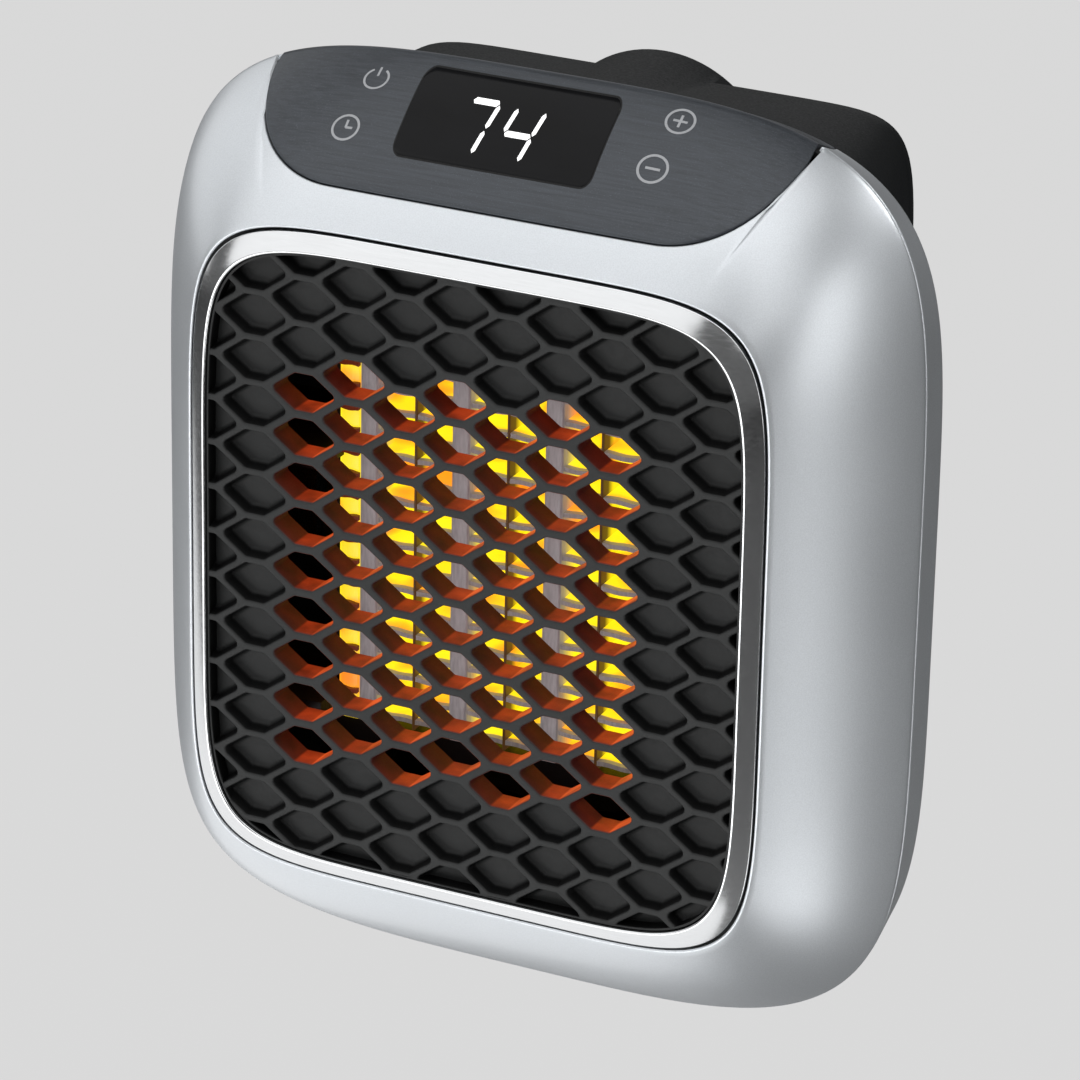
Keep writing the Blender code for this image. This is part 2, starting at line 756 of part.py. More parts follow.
def add_cell_shape(work, front_outline, back_outline, front, back):
    """Add one closed tapered prism to a bmesh."""
    first = [work.verts.new((x, at_depth(front), z)) for x, z in front_outline]
    last = [work.verts.new((x, at_depth(back), z)) for x, z in back_outline]
    count = len(first)
    for index in range(count):
        after = (index + 1) % count
        work.faces.new((first[index], first[after], last[after], last[index]))
    work.faces.new(first[::-1])
    work.faces.new(last)


def make_grille():
    """The moulded lattice: open cells in the middle, blind pockets round them, a rim behind."""
    squareness = (RING_SQUARENESS, RING_SQUARENESS)

    def plate_section(outwards, depth):
        half_width, half_height = GRILLE_HALF_WIDTH + outwards, GRILLE_HALF_HEIGHT + outwards
        return Section(half_width, half_height, squareness, RING_Z, depth)

    rim_reach = RING_FACE_WIDTH + RING_SEAM
    sections = [
        plate_section(0, GRILLE_FRONT),
        plate_section(0, GRILLE_RIM_FRONT),
        plate_section(rim_reach, GRILLE_RIM_FRONT),
        plate_section(rim_reach, GRILLE_BACK),
    ]
    black = finish("grille_black", BLACK, 0.55)
    grille = loft("grille", sections, black, points=INNER_OUTLINE_POINTS)
    border = (COLUMN_PITCH * 2 - CELL_WIDTH - CELL_FLAT) / 2
    field_width, field_height = GRILLE_HALF_WIDTH - border, GRILLE_HALF_HEIGHT - border
    mouth_rise = GAP
    mouth_share = 1 + mouth_rise / POCKET_DEPTH * (1 - POCKET_FLOOR_SHARE)
    work = bmesh.new()
    for x, z, is_open in lattice_cells():
        if not reaches_field(x, z, field_width, field_height):
            continue
        if is_open:
            whole = hexagon(x, z)
            add_cell_shape(work, whole, whole, GRILLE_FRONT - mouth_rise, GRILLE_BACK + OVERRUN)
        else:
            mouth, floor = hexagon(x, z, mouth_share), hexagon(x, z, POCKET_FLOOR_SHARE)
            add_cell_shape(work, mouth, floor, GRILLE_FRONT - mouth_rise, GRILLE_FRONT + POCKET_DEPTH)
    cells = place("grille_cells", mesh_from(work, "grille_cells"))
    field = loft(
        "grille_field",
        [
            plate_section(-border, GRILLE_FRONT - OVERRUN),
            plate_section(-border, GRILLE_BACK + 2 * OVERRUN),
        ],
        points=INNER_OUTLINE_POINTS,
    )
    boolean(cells, field, "INTERSECT", "MANIFOLD")
    boolean(grille, cells, "DIFFERENCE", "MANIFOLD")
    return grille


def zigzag_outline(left, right, bottom, top):
    """A ribbon that runs to and fro between two sides as it climbs."""
    folds = max(2, int((top - bottom) / (FIN_PITCH / 2)))
    rise = (top - bottom) / folds
    width = FIN_THICKNESS * math.hypot(right - left, rise) / rise
    low_x, high_x = left + width / 2, right - width / 2
    centre = [(low_x if fold % 2 else high_x, bottom + rise * fold) for fold in range(folds + 1)]
    one_side = [(x - width / 2, z) for x, z in centre]
    other_side = [(x + width / 2, z) for x, z in centre]
    return one_side + other_side[::-1]


def make_heater():
    """The heater core: ceramic bars, dividers and corrugated fins in a plastic frame."""
    bar_finish = finish("bar_aluminium", GREY_METAL, 0.45, 0.6)
    fin_finish = finish("fin_aluminium", BRIGHT, 0.40, 0.9)
    frame_finish = finish("frame_black", BLACK, 0.60)
    middle = (HEATER_FRONT + HEATER_BACK) / 2
    half_height = HEATER_HEIGHT / 2
    bars_x = [(index - (BAR_COUNT - 1) / 2) * BAR_PITCH for index in range(BAR_COUNT)]
    for index, x in enumerate(bars_x):
        size = (BAR_WIDTH, HEATER_DEPTH, HEATER_HEIGHT)
        box(f"ceramic_bar_{index + 1}", size, (x, middle, RING_Z), bar_finish)
    fin_depth = HEATER_DEPTH - 2 * FIN_SINK
    for index in range(BAR_COUNT - 1):
        x = (bars_x[index] + bars_x[index + 1]) / 2
        box(
            f"core_divider_{index + 1}",
            (DIVIDER_THICKNESS, fin_depth, HEATER_HEIGHT),
            (x, middle, RING_Z),
            fin_finish,
        )
        for side, word in ((-1, "left"), (1, "right")):
            near = x + side * (DIVIDER_THICKNESS / 2 + GAP)
            far = x + side * (BAR_PITCH / 2 - BAR_WIDTH / 2 - GAP)
            low_x, high_x = sorted((near, far))
            outline = zigzag_outline(
                low_x, high_x, RING_Z - half_height + FIN_THICKNESS, RING_Z + half_height - FIN_THICKNESS
            )
            prism(
                f"fin_strip_{index + 1}_{word}",
                outline,
                middle - fin_depth / 2,
                middle + fin_depth / 2,
                fin_finish,
            )
    room_x = CORE_HALF_WIDTH + GAP
    room_z = half_height + GAP
    frame = box(
        "heater_frame",
        (2 * (room_x + HEATER_FRAME_WALL), HEATER_DEPTH, 2 * (room_z + HEATER_FRAME_WALL)),
        (0, middle, RING_Z),
        frame_finish,
    )
    ear_front, ear_back = FLANGE_BACK + GAP, FAN_FRONT - GAP
    ear_inner = room_x + HEATER_FRAME_WALL / 2
    for side in (-1, 1):
        for level in (-1, 1):
            ear = box(
                f"heater_ear_{'left' if side < 0 else 'right'}_{'low' if level < 0 else 'high'}",
                (HEATER_EAR_REACH - ear_inner, ear_back - ear_front, HEATER_EAR_HEIGHT),
                (
                    side * (HEATER_EAR_REACH + ear_inner) / 2,
                    (ear_front + ear_back) / 2,
                    FAN_Z + level * HEATER_EAR_SPREAD,
                ),
            )
            join(frame, ear)
    room = box("heater_room", (2 * room_x, HEATER_DEPTH + OVERRUN, 2 * room_z), (0, middle, RING_Z))
    cut(frame, room)
    cutout_z = RING_Z + room_z + HEATER_FRAME_WALL + GAP + CUTOUT_THICKNESS / 2
    disc = cylinder(
        "thermal_cutout",
        CUTOUT_RADIUS,
        middle - CUTOUT_THICKNESS / 2,
        middle + CUTOUT_THICKNESS / 2,
        BAR_PITCH,
        cutout_z,
        finish("cutout_metal", BRIGHT, 0.35, 1.0),
        points=SMALL_CIRCLE_POINTS,
    )
    disc.rotation_euler = (math.radians(90), 0, 0)
    return frame


def housing_sections(inset, front, back_inset):
    """The tapered rear casing's sections, drawn in by a wall."""
    neck_inset = BAND_ROUND_INSET + NECK_INSET + inset
    fillet_front = REAR_WALL_BACK - REAR_FILLET
    sections = [body_section(neck_inset, front), body_section(neck_inset, BAND_BACK)]
    for step in range(ROUND_STEPS + 1):
        angle = math.pi / 2 * step / ROUND_STEPS
        shrink = REAR_FILLET * (REAR_FILLET_SHARE * (1 - math.cos(angle)) - REAR_FLARE_SHARE)
        depth = fillet_front + REAR_FILLET * math.sin(angle)
        sections.append(
            Section(
                REAR_HALF_WIDTH - shrink - inset,
                REAR_HALF_HEIGHT - shrink - inset,
                (REAR_SQUARENESS, REAR_SQUARENESS),
                REAR_Z,
                min(depth, REAR_WALL_BACK - back_inset),
            )
        )
        if depth >= REAR_WALL_BACK - back_inset:
            break
    return sections


def make_rear_housing():
    """The tapered black casing with its hump, slots, screw wells and switch seat."""
    black = finish("housing_black", BLACK, 0.48)
    body = housing_sections(0, HOUSING_FLANGE_BACK, 0)
    flange_inset = SHELL_WALL + GAP
    front = [
        body_section(flange_inset, HOUSING_FLANGE_FRONT),
        body_section(flange_inset, HOUSING_FLANGE_BACK),
    ]
    housing = loft("rear_housing", front + body, black, points=HOUSING_POINTS)
    hump = cylinder("hump", HUMP_RADIUS, BAND_BACK, REAR_WALL_BACK, points=HUMP_POINTS)
    seat_half_z = ROCKER_LENGTH / 2 + ROCKER_BEZEL + ROCKER_SEAT_MARGIN
    seat_half_y = ROCKER_WIDTH / 2 + ROCKER_BEZEL + ROCKER_SEAT_MARGIN
    seat = box(
        "switch_seat",
        (ROCKER_SEAT_HALF_WIDTH, 2 * seat_half_y, 2 * seat_half_z),
        (-ROCKER_SEAT_HALF_WIDTH / 2, ROCKER_DEPTH_CENTRE, ROCKER_Z),
    )
    soften = seat.modifiers.new("soften", "BEVEL")
    soften.width = ROCKER_SEAT_ROUNDING
    soften.segments = 2
    join(housing, hump, seat)

    cavity = loft(
        "housing_cavity",
        [body_section(BAND_ROUND_INSET + NECK_INSET + HOUSING_WALL, HOUSING_FLANGE_FRONT - OVERRUN)]
        + housing_sections(HOUSING_WALL, HOUSING_FLANGE_FRONT, HOUSING_WALL),
        points=INNER_OUTLINE_POINTS,
    )
    hump_room = cylinder(
        "hump_room", HUMP_RADIUS - HOUSING_WALL, BAND_BACK, REAR_WALL_FRONT, points=CIRCLE_POINTS
    )
    seat_room = box(
        "switch_seat_room",
        (
            ROCKER_SEAT_HALF_WIDTH - HOUSING_WALL,
            2 * (seat_half_y - HOUSING_WALL),
            2 * (seat_half_z - HOUSING_WALL),
        ),
        (-(ROCKER_SEAT_HALF_WIDTH - HOUSING_WALL) / 2, ROCKER_DEPTH_CENTRE, ROCKER_Z),
    )
    join(cavity, hump_room, seat_room)
    cut(housing, cavity)
    boss_radius = SCREW_HEAD_RADIUS + SCREW_BOSS_WALL
    for number, (x, z) in enumerate(screw_places(), 1):
        boss = small_cylinder(
            f"rear_boss_{number}", boss_radius, HOUSING_FLANGE_FRONT, REAR_WALL_FRONT + OVERRUN, x, z
        )
        well = small_cylinder(
            f"rear_well_{number}", SCREW_HEAD_RADIUS + 2 * GAP, SCREW_SEAT, REAR_WALL_BACK + OVERRUN, x, z
        )
        hole = small_cylinder(
            f"rear_hole_{number}",
            SCREW_SHANK_RADIUS + GAP,
            HOUSING_FLANGE_FRONT - OVERRUN,
            SCREW_SEAT + OVERRUN,
            x,
            z,
        )
        cut(cavity, boss)
        cut(housing, well, hole)
    for side in (-1, 1):
        post = small_cylinder(
            "board_post_left" if side < 0 else "board_post_right",
            BOARD_POST_RADIUS,
            POWER_BOARD_BACK + GAP,
            REAR_WALL_FRONT + OVERRUN,
            side * BOARD_POST_X,
            BOARD_POST_Z,
        )
        cut(cavity, post)
    bore = cylinder(
        "turret_bore", TURRET_RADIUS + GAP, REAR_WALL_FRONT - OVERRUN, REAR_WALL_BACK + OVERRUN
    )
    cut(housing, bore)
    cut(housing, make_slot_cutter(), make_rocker_hole())
    shade_round(housing)
    return housing


def make_slot_cutter():
    """Rows of round-ended slots that fill a circle behind the fan."""
    work = bmesh.new()
    half_slot = SLOT_HEIGHT / 2
    for row in range(SLOT_COUNT):
        z = (row - (SLOT_COUNT - 1) / 2) * SLOT_PITCH
        half_chord = math.sqrt(max(SLOT_FIELD_RADIUS ** 2 - z ** 2, 0))
        length = half_chord - SLOT_RIB / 2
        if length < 2 * SLOT_HEIGHT:
            continue
        for side in (-1, 1):
            middle = side * (SLOT_RIB / 2 + length / 2)
            outline = rounded_box_outline(length / 2, half_slot, half_slot, middle, FAN_Z + z, steps=2)
            unique = [p for i, p in enumerate(outline) if math.dist(p, outline[i - 1]) > GAP]
            add_cell_shape(work, unique, unique, REAR_WALL_FRONT - OVERRUN / 2, REAR_WALL_BACK + OVERRUN)
    return place("slot_cutter", mesh_from(work, "slot_cutter"))


def make_rocker_hole():
    """The hole in the switch seat that the rocker frame fills."""
    return box(
        "rocker_hole",
        (2 * ROCKER_DEPTH, ROCKER_WIDTH + 2 * GAP, ROCKER_LENGTH + 2 * GAP),
        (-ROCKER_SEAT_HALF_WIDTH, ROCKER_DEPTH_CENTRE, ROCKER_Z),
    )


def make_rocker():
    """The main switch: a bezelled frame and a cap that rocks in it."""
    plastic = finish("switch_black", BLACK, 0.35)
    seat_x = -ROCKER_SEAT_HALF_WIDTH - GAP
    frame = box(
        "rocker_frame",
        (ROCKER_BEZEL_THICKNESS, ROCKER_WIDTH + 2 * ROCKER_BEZEL, ROCKER_LENGTH + 2 * ROCKER_BEZEL),
        (seat_x - ROCKER_BEZEL_THICKNESS / 2, ROCKER_DEPTH_CENTRE, ROCKER_Z),
        plastic,
    )
    body = box(
        "rocker_body",
        (ROCKER_DEPTH + ROCKER_BEZEL_THICKNESS / 2, ROCKER_WIDTH, ROCKER_LENGTH),
        (
            seat_x + ROCKER_DEPTH / 2 - ROCKER_BEZEL_THICKNESS / 4,
            ROCKER_DEPTH_CENTRE,
            ROCKER_Z,
        ),
    )
    join(frame, body)
    wall = ROCKER_BEZEL / 2
    room_depth = ROCKER_CAP_DEPTH + ROCKER_CAP_PROUD + GAP
    room = box(
        "rocker_room",
        (2 * room_depth, ROCKER_WIDTH - 2 * wall, ROCKER_LENGTH - 2 * wall),
        (seat_x - ROCKER_BEZEL_THICKNESS, ROCKER_DEPTH_CENTRE, ROCKER_Z),
    )
    cut(frame, room)

    cap_half = ROCKER_LENGTH / 2 - wall - 3 * GAP
    pivot_x = seat_x - ROCKER_BEZEL_THICKNESS + ROCKER_CAP_DEPTH / 2
    crest = ROCKER_CAP_DEPTH / 2 + ROCKER_CAP_PROUD
    slope = cap_half * math.tan(ROCKER_SWING) / 2
    work = bmesh.new()
    outline = [
        (-crest, 0),
        (-crest + slope, cap_half - GAP),
        (0, cap_half),
        (ROCKER_CAP_DEPTH * ROCKER_KEEL_SHARE, 0),
        (0, -cap_half),
        (-crest + slope, -cap_half + GAP),
    ]
    half_y = ROCKER_WIDTH / 2 - wall - GAP
    verts = [work.verts.new((x, -half_y, z)) for x, z in outline]
    face = work.faces.new(verts)
    grown = bmesh.ops.extrude_face_region(work, geom=[face])
    moved = [item for item in grown["geom"] if isinstance(item, bmesh.types.BMVert)]
    bmesh.ops.translate(work, verts=moved, vec=(0, 2 * half_y, 0))
    cap = place("rocker_cap", mesh_from(work, "rocker_cap"), plastic)
    cap.location = (pivot_x, at_depth(ROCKER_DEPTH_CENTRE), ROCKER_Z)
    cap.rotation_euler = (0, ROCKER_SWING, 0)
    return cap


def make_plug():
    """The turret that turns in the hump, its two blades and the ring that keeps it in."""
    turret_finish = finish("turret_black", BLACK, 0.42)
    face = RING_TO_WALL
    inner = face - TURRET_LENGTH
    turret = cylinder("plug_turret", TURRET_RADIUS, inner, face, material=turret_finish)
    flange_back = REAR_WALL_FRONT - GAP
    flange = cylinder(
        "turret_flange",
        TURRET_RADIUS + TURRET_FLANGE_WIDTH,
        flange_back - TURRET_FLANGE_THICKNESS,
        flange_back,
    )
    join(turret, flange)
    metal = finish("blade_nickel", BRIGHT, 0.25, 1.0)
    tail_front = inner - GAP - BLADE_TAIL
    tip = face + BLADE_REACH
    for side, word in ((-1, "live"), (1, "neutral")):
        x = side * BLADE_SPACING / 2
        slot = box(
            "blade_slot_" + word,
            (PLUG_BLADE_THICKNESS + 2 * GAP, 2 * TURRET_LENGTH + OVERRUN, BLADE_WIDTH + 2 * GAP),
            (x, face, 0),
        )
        cut(turret, slot)
        blade = box(
            "blade_" + word,
            (PLUG_BLADE_THICKNESS, tip - tail_front, BLADE_WIDTH),
            (x, (tip + tail_front) / 2, 0),
            metal,
        )
        bevel_blade_tip(blade)
    foot_reach = OUTER_CONTACT_RADIUS - BLADE_SPACING / 2 + CONTACT_RING_WIDTH / 2
    foot = box(
        "neutral_foot",
        (foot_reach, BLADE_TAIL, BLADE_WIDTH),
        (BLADE_SPACING / 2 + foot_reach / 2, tail_front + BLADE_TAIL / 2, 0),
    )
    join(bpy.data.objects["blade_neutral"], foot)

    flange_room_front = flange_back - TURRET_FLANGE_THICKNESS - GAP
    retainer_front = flange_room_front - RETAINER_THICKNESS
    retainer = cylinder(
        "turret_retainer",
        HUMP_RADIUS - HOUSING_WALL - GAP,
        retainer_front,
        REAR_WALL_FRONT - GAP,
        material=finish("retainer_grey", GREY_METAL, 0.5),
    )
    retainer_bore = cylinder(
        "retainer_bore", TURRET_RADIUS + GAP, retainer_front - OVERRUN, REAR_WALL_FRONT + OVERRUN
    )
    flange_room = cylinder(
        "flange_room",
        TURRET_RADIUS + TURRET_FLANGE_WIDTH + GAP,
        flange_room_front,
        REAR_WALL_FRONT + OVERRUN,
    )
    cut(retainer, retainer_bore, flange_room)
    for piece in (turret, retainer):
        shade_round(piece)
    make_contacts(tail_front)
    return turret


def bevel_blade_tip(blade):
    """Chamfer the far end of a plug blade."""
    tip = max(v.co.y for v in blade.data.vertices)
    work = bmesh.new()
    work.from_mesh(blade.data)
    edges = [e for e in work.edges if all(v.co.y > tip - GAP for v in e.verts)]
    wide = [e for e in edges if abs(e.verts[0].co.z - e.verts[1].co.z) > GAP]
    bmesh.ops.bevel(work, geom=wide, offset=PLUG_BLADE_CHAMFER, segments=1, affect="EDGES", profile=0.5)
    work.to_mesh(blade.data)
    work.free()


def make_contacts(tail_front):
    """Two slip rings on a carrier behind the turret."""
    brass = finish("contact_brass", BRASS, 0.3, 1.0)
    ring_back = tail_front - GAP
    ring_front = ring_back - CONTACT_RING_THICKNESS
    for radius, word in ((BLADE_SPACING / 2, "live"), (OUTER_CONTACT_RADIUS, "neutral")):
        ring = cylinder(
            "contact_ring_" + word, radius + CONTACT_RING_WIDTH / 2, ring_front, ring_back, material=brass
        )
        bore_radius = radius - CONTACT_RING_WIDTH / 2
        bore = cylinder("contact_bore_" + word, bore_radius, ring_front - OVERRUN, ring_back + OVERRUN)
        cut(ring, bore)
        shade_round(ring)
    carrier_back = ring_front - GAP
    carrier = cylinder(
        "contact_carrier",
        HUMP_RADIUS - HOUSING_WALL - GAP,
        carrier_back - CARRIER_THICKNESS,
        carrier_back,
        material=finish("carrier_white", BRIGHT, 0.6),
    )
    shade_round(carrier)
    return carrier


def make_fan():
    """Impeller, shaft, motor, shroud and bracket."""
    plastic = finish("impeller_grey", GREY_METAL, 0.5)
    hub = cylinder("fan_impeller", FAN_HUB_RADIUS, FAN_FRONT, FAN_BACK, z=FAN_Z, material=plastic)
    hub_room = small_cylinder(
        "hub_room", FAN_HUB_RADIUS - FAN_HUB_WALL, FAN_FRONT + FAN_HUB_WEB, FAN_BACK + OVERRUN, z=FAN_Z
    )
    shaft_bore = small_cylinder(
        "shaft_bore", SHAFT_RADIUS + GAP, FAN_FRONT + FAN_HUB_WALL, FAN_BACK, z=FAN_Z
    )
    for index in range(BLADE_COUNT):
        join(hub, make_fan_blade(index))
    cut(hub, hub_room, shaft_bore)
    shade_round(hub)

    shaft_back = MOTOR_FRONT + MOTOR_LENGTH / 2
    steel = finish("shaft_steel", BRIGHT, 0.25, 1.0)
    shaft_front = FAN_FRONT + FAN_HUB_WALL + GAP
    small_cylinder("motor_shaft", SHAFT_RADIUS, shaft_front, shaft_back, z=FAN_Z, material=steel)
    case_steel = finish("motor_steel", GREY_METAL, 0.35, 0.9)
    motor = cylinder("fan_motor", MOTOR_RADIUS, MOTOR_FRONT, MOTOR_BACK, z=FAN_Z, material=case_steel)
    motor_bore = small_cylinder(
        "motor_bore", SHAFT_RADIUS + GAP, MOTOR_FRONT - OVERRUN, shaft_back + GAP, z=FAN_Z
    )
    cut(motor, motor_bore)
    shade_round(motor)

    duct_radius = FAN_RADIUS + FAN_TIP_CLEARANCE
    outer_radius = duct_radius + SHROUD_WALL
    flange_radius = outer_radius + SHROUD_FLANGE
    dark = finish("shroud_black", BLACK, 0.55)
    shroud = cylinder("fan_shroud", outer_radius, FAN_FRONT, FAN_BACK + GAP, z=FAN_Z, material=dark)
    shroud_flange = cylinder(
        "shroud_flange", flange_radius, FAN_FRONT, FAN_FRONT + SHROUD_WALL, z=FAN_Z
    )
    join(shroud, shroud_flange)
    duct = cylinder("shroud_duct", duct_radius, FAN_FRONT - OVERRUN, FAN_BACK + OVERRUN, z=FAN_Z)
    cut(shroud, duct)
    shade_round(shroud)

    bracket_front = FAN_BACK + 2 * GAP
    bracket = cylinder(
        "motor_bracket",
        outer_radius,
        bracket_front,
        bracket_front + BRACKET_THICKNESS,
        z=FAN_Z,
        material=finish("bracket_steel", GREY_METAL, 0.4, 0.9),
    )
    window = cylinder(
        "bracket_window", duct_radius, bracket_front - OVERRUN, bracket_front + OVERRUN, z=FAN_Z
    )
    cut(bracket, window)
    middle = bracket_front + BRACKET_THICKNESS / 2
    for index in range(BRACKET_ARMS):
        arm = box(
            f"bracket_arm_{index + 1}",
            (BRACKET_ARM_WIDTH, BRACKET_THICKNESS, duct_radius + SHROUD_WALL / 2),
            (0, middle, FAN_Z),
        )
        turn = 2 * math.pi * index / BRACKET_ARMS
        arm.rotation_euler = (0, turn, 0)
        reach = (duct_radius + SHROUD_WALL / 2) / 2
        arm.location = (reach * math.sin(turn), at_depth(middle), FAN_Z + reach * math.cos(turn))
        join(bracket, arm)
    cup = small_cylinder("bracket_cup", FAN_HUB_RADIUS, bracket_front, MOTOR_FRONT - GAP, z=FAN_Z)
    cup_bore = small_cylinder(
        "bracket_bore", SHAFT_RADIUS + 2 * GAP, bracket_front - OVERRUN, MOTOR_FRONT + OVERRUN, z=FAN_Z
    )
    join(bracket, cup)
    cut(bracket, cup_bore)
    return hub


def make_fan_blade(index):
    """One twisted blade of the impeller, as a loft from hub to tip."""
    work = bmesh.new()
    stations = 4
    rows = []
    root = FAN_HUB_RADIUS - FAN_HUB_WALL / 2
    start = FIRST_BLADE_ANGLE + 2 * math.pi * index / BLADE_COUNT
    depth_half = FAN_DEPTH / 2 - BLADE_THICKNESS
    middle = at_depth((FAN_FRONT + FAN_BACK) / 2)
    for station in range(stations + 1):
        radius = root + (FAN_RADIUS - root) * station / stations
        share = station / stations
        half_sweep = BLADE_SPAN_ANGLE / 2
        pitch_share = 1 - share * BLADE_TWIST / math.pi
        row = []
        for along, side in ((-1, -1), (0, -1), (1, -1), (1, 1), (0, 1), (-1, 1)):
            turn = start + along * half_sweep
            lift = depth_half * pitch_share * along
            camber = BLADE_THICKNESS * (1 - along * along)
            y = middle + lift + side * BLADE_THICKNESS / 2 - camber
            row.append(work.verts.new((radius * math.sin(turn), y, FAN_Z + radius * math.cos(turn))))
        rows.append(row)
    count = len(rows[0])
    for row, following in zip(rows, rows[1:]):
        for point in range(count):
            after = (point + 1) % count
            work.faces.new((row[point], row[after], following[after], following[point]))
    work.faces.new(rows[0])
    work.faces.new(rows[-1])
    name = f"impeller_blade_{index + 1}"
    return place(name, mesh_from(work, name))


def panel_slope():
    """Height, depth and tilt of the panel's surface at the display's middle."""
    sections = crown_sections()
    for near, far in zip(sections, sections[1:]):
        low, high = near.z + near.half_height, far.z + far.half_height
        if high >= DISPLAY_Z:
            break
    share = (DISPLAY_Z - low) / (high - low)
    depth = near.depth + (far.depth - near.depth) * share
    return DISPLAY_Z, depth, math.atan2(far.depth - near.depth, high - low)


def make_electronics():
    """Display module, control board with touch springs, and the power board."""
    z, depth, tilt = panel_slope()
    normal = Vector((0, math.cos(tilt), -math.sin(tilt)))
    along = Vector((0, math.sin(tilt), math.cos(tilt)))
    surface = Vector((0, at_depth(depth), z))
    board_green = finish("board_green", GREEN, 0.45)

    def tilted_box(name, size, sink, material):
        piece = box(name, size, (0, 0, 0), material)
        piece.rotation_euler = (-tilt, 0, 0)
        piece.location = surface + normal * (sink + size[1] / 2)
        return piece

    module_sink = PANEL_THICKNESS + DISPLAY_SEAT
    module_size = (DISPLAY_MODULE_WIDTH, DISPLAY_MODULE_DEPTH, DISPLAY_MODULE_HEIGHT)
    module = tilted_box("display_module", module_size, module_sink, finish("module_black", BLACK, 0.4))
    module.location.x = DISPLAY_SHIFT_X
    board_sink = module_sink + DISPLAY_MODULE_DEPTH + GAP
    control_size = (CONTROL_BOARD_WIDTH, BOARD_THICKNESS, CONTROL_BOARD_HEIGHT)
    tilted_box("control_board", control_size, board_sink, board_green)
    wire = finish("spring_steel", BRIGHT, 0.3, 1.0)
    foot_sink = board_sink - TOUCH_SPRING_WIRE / 2 - GAP
    spring_height = foot_sink - PANEL_THICKNESS - DISPLAY_SEAT
    for word, side, level in (("power", -1, 1), ("timer", -1, -1), ("plus", 1, 1), ("minus", 1, -1)):
        foot = surface + normal * foot_sink + along * (level * TOUCH_SPRING_Z)
        foot.x = side * TOUCH_SPRING_X
        make_touch_spring("touch_spring_" + word, foot, -normal, spring_height, wire)

    post_start, post_end = PANEL_THICKNESS / 2, board_sink - GAP
    for side, word in ((-1, "left"), (1, "right")):
        post = small_cylinder("panel_post_" + word, PANEL_POST_RADIUS, post_start, post_end)
        post.rotation_euler = (-tilt, 0, 0)
        post.location = surface + normal * (post_start + post_end) / 2
        post.location.x = side * PANEL_POST_X
        join(bpy.data.objects["control_panel"], post)

    board_size = (POWER_BOARD_WIDTH, BOARD_THICKNESS, POWER_BOARD_HEIGHT)
    board_middle = (POWER_BOARD_FRONT + POWER_BOARD_BACK) / 2
    box("power_board", board_size, (0, board_middle, POWER_BOARD_Z), board_green)
    part_front = POWER_BOARD_BACK + GAP
    box(
        "power_relay",
        (RELAY_WIDTH, RELAY_DEPTH, RELAY_HEIGHT),
        (-COMPONENT_X, part_front + RELAY_DEPTH / 2, POWER_BOARD_Z),
        finish("relay_blue", BLUE, 0.4),
    )
    can = small_cylinder(
        "power_capacitor",
        CAPACITOR_RADIUS,
        part_front,
        part_front + CAPACITOR_LENGTH,
        COMPONENT_X,
        POWER_BOARD_Z,
        finish("capacitor_can", BRIGHT, 0.3, 0.9),
    )
    shade_round(can)


def make_touch_spring(name, base, direction, height, material):
    """A short coil of wire that stands on the control board behind an icon."""
    turns_points = 8 * TOUCH_SPRING_TURNS
    across = direction.orthogonal().normalized()
    third = direction.cross(across)
    curve = bpy.data.curves.new(name, "CURVE")
    curve.dimensions = "3D"
    curve.bevel_depth = TOUCH_SPRING_WIRE / 2
    curve.bevel_resolution = 0
    curve.use_fill_caps = True
    spline = curve.splines.new("POLY")
    spline.points.add(turns_points)
    for index in range(turns_points + 1):
        share = index / turns_points
        angle = 2 * math.pi * TOUCH_SPRING_TURNS * share
        ring = across * math.cos(angle) + third * math.sin(angle)
        point = base + direction * (height * share) + ring * TOUCH_SPRING_RADIUS
        spline.points[index].co = (*point, 1)
    curve.materials.append(material)
    spring = bpy.data.objects.new(name, curve)
    PARTS.objects.link(spring)
    return spring


def make_screws():
    """The four screws that clamp the rear housing to the front shell."""
    steel = finish("screw_steel", GREY_METAL, 0.35, 1.0)
    seat = SCREW_SEAT + GAP
    for number, (x, z) in enumerate(screw_places(), 1):
        head = small_cylinder(
            f"housing_screw_{number}", SCREW_HEAD_RADIUS, seat, seat + SCREW_HEAD_HEIGHT, x, z, steel
        )
        shank = small_cylinder(
            f"screw_shank_{number}",
            SCREW_SHANK_RADIUS,
            seat - SCREW_LENGTH,
            seat + SCREW_HEAD_HEIGHT / 2,
            x,
            z,
        )
        join(head, shank)
        shade_round(head)


PANEL_ROOM = make_panel_cutter("panel_room", PANEL_THICKNESS + GAP, GAP)
make_front_shell()
make_rear_shell()
make_control_panel()
make_display_window()
make_trim_ring()
make_grille()
make_heater()
make_rear_housing()
make_rocker()
make_plug()
make_fan()
make_electronics()
make_screws()
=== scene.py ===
"""Looks of a plug-in ceramic fan heater: close shapes, finishes, studio light and camera."""

import logging
import math
from dataclasses import dataclass
from enum import Enum
from typing import Callable, List, Optional, Sequence, Tuple

import bmesh
import bpy
from mathutils import Matrix, Vector


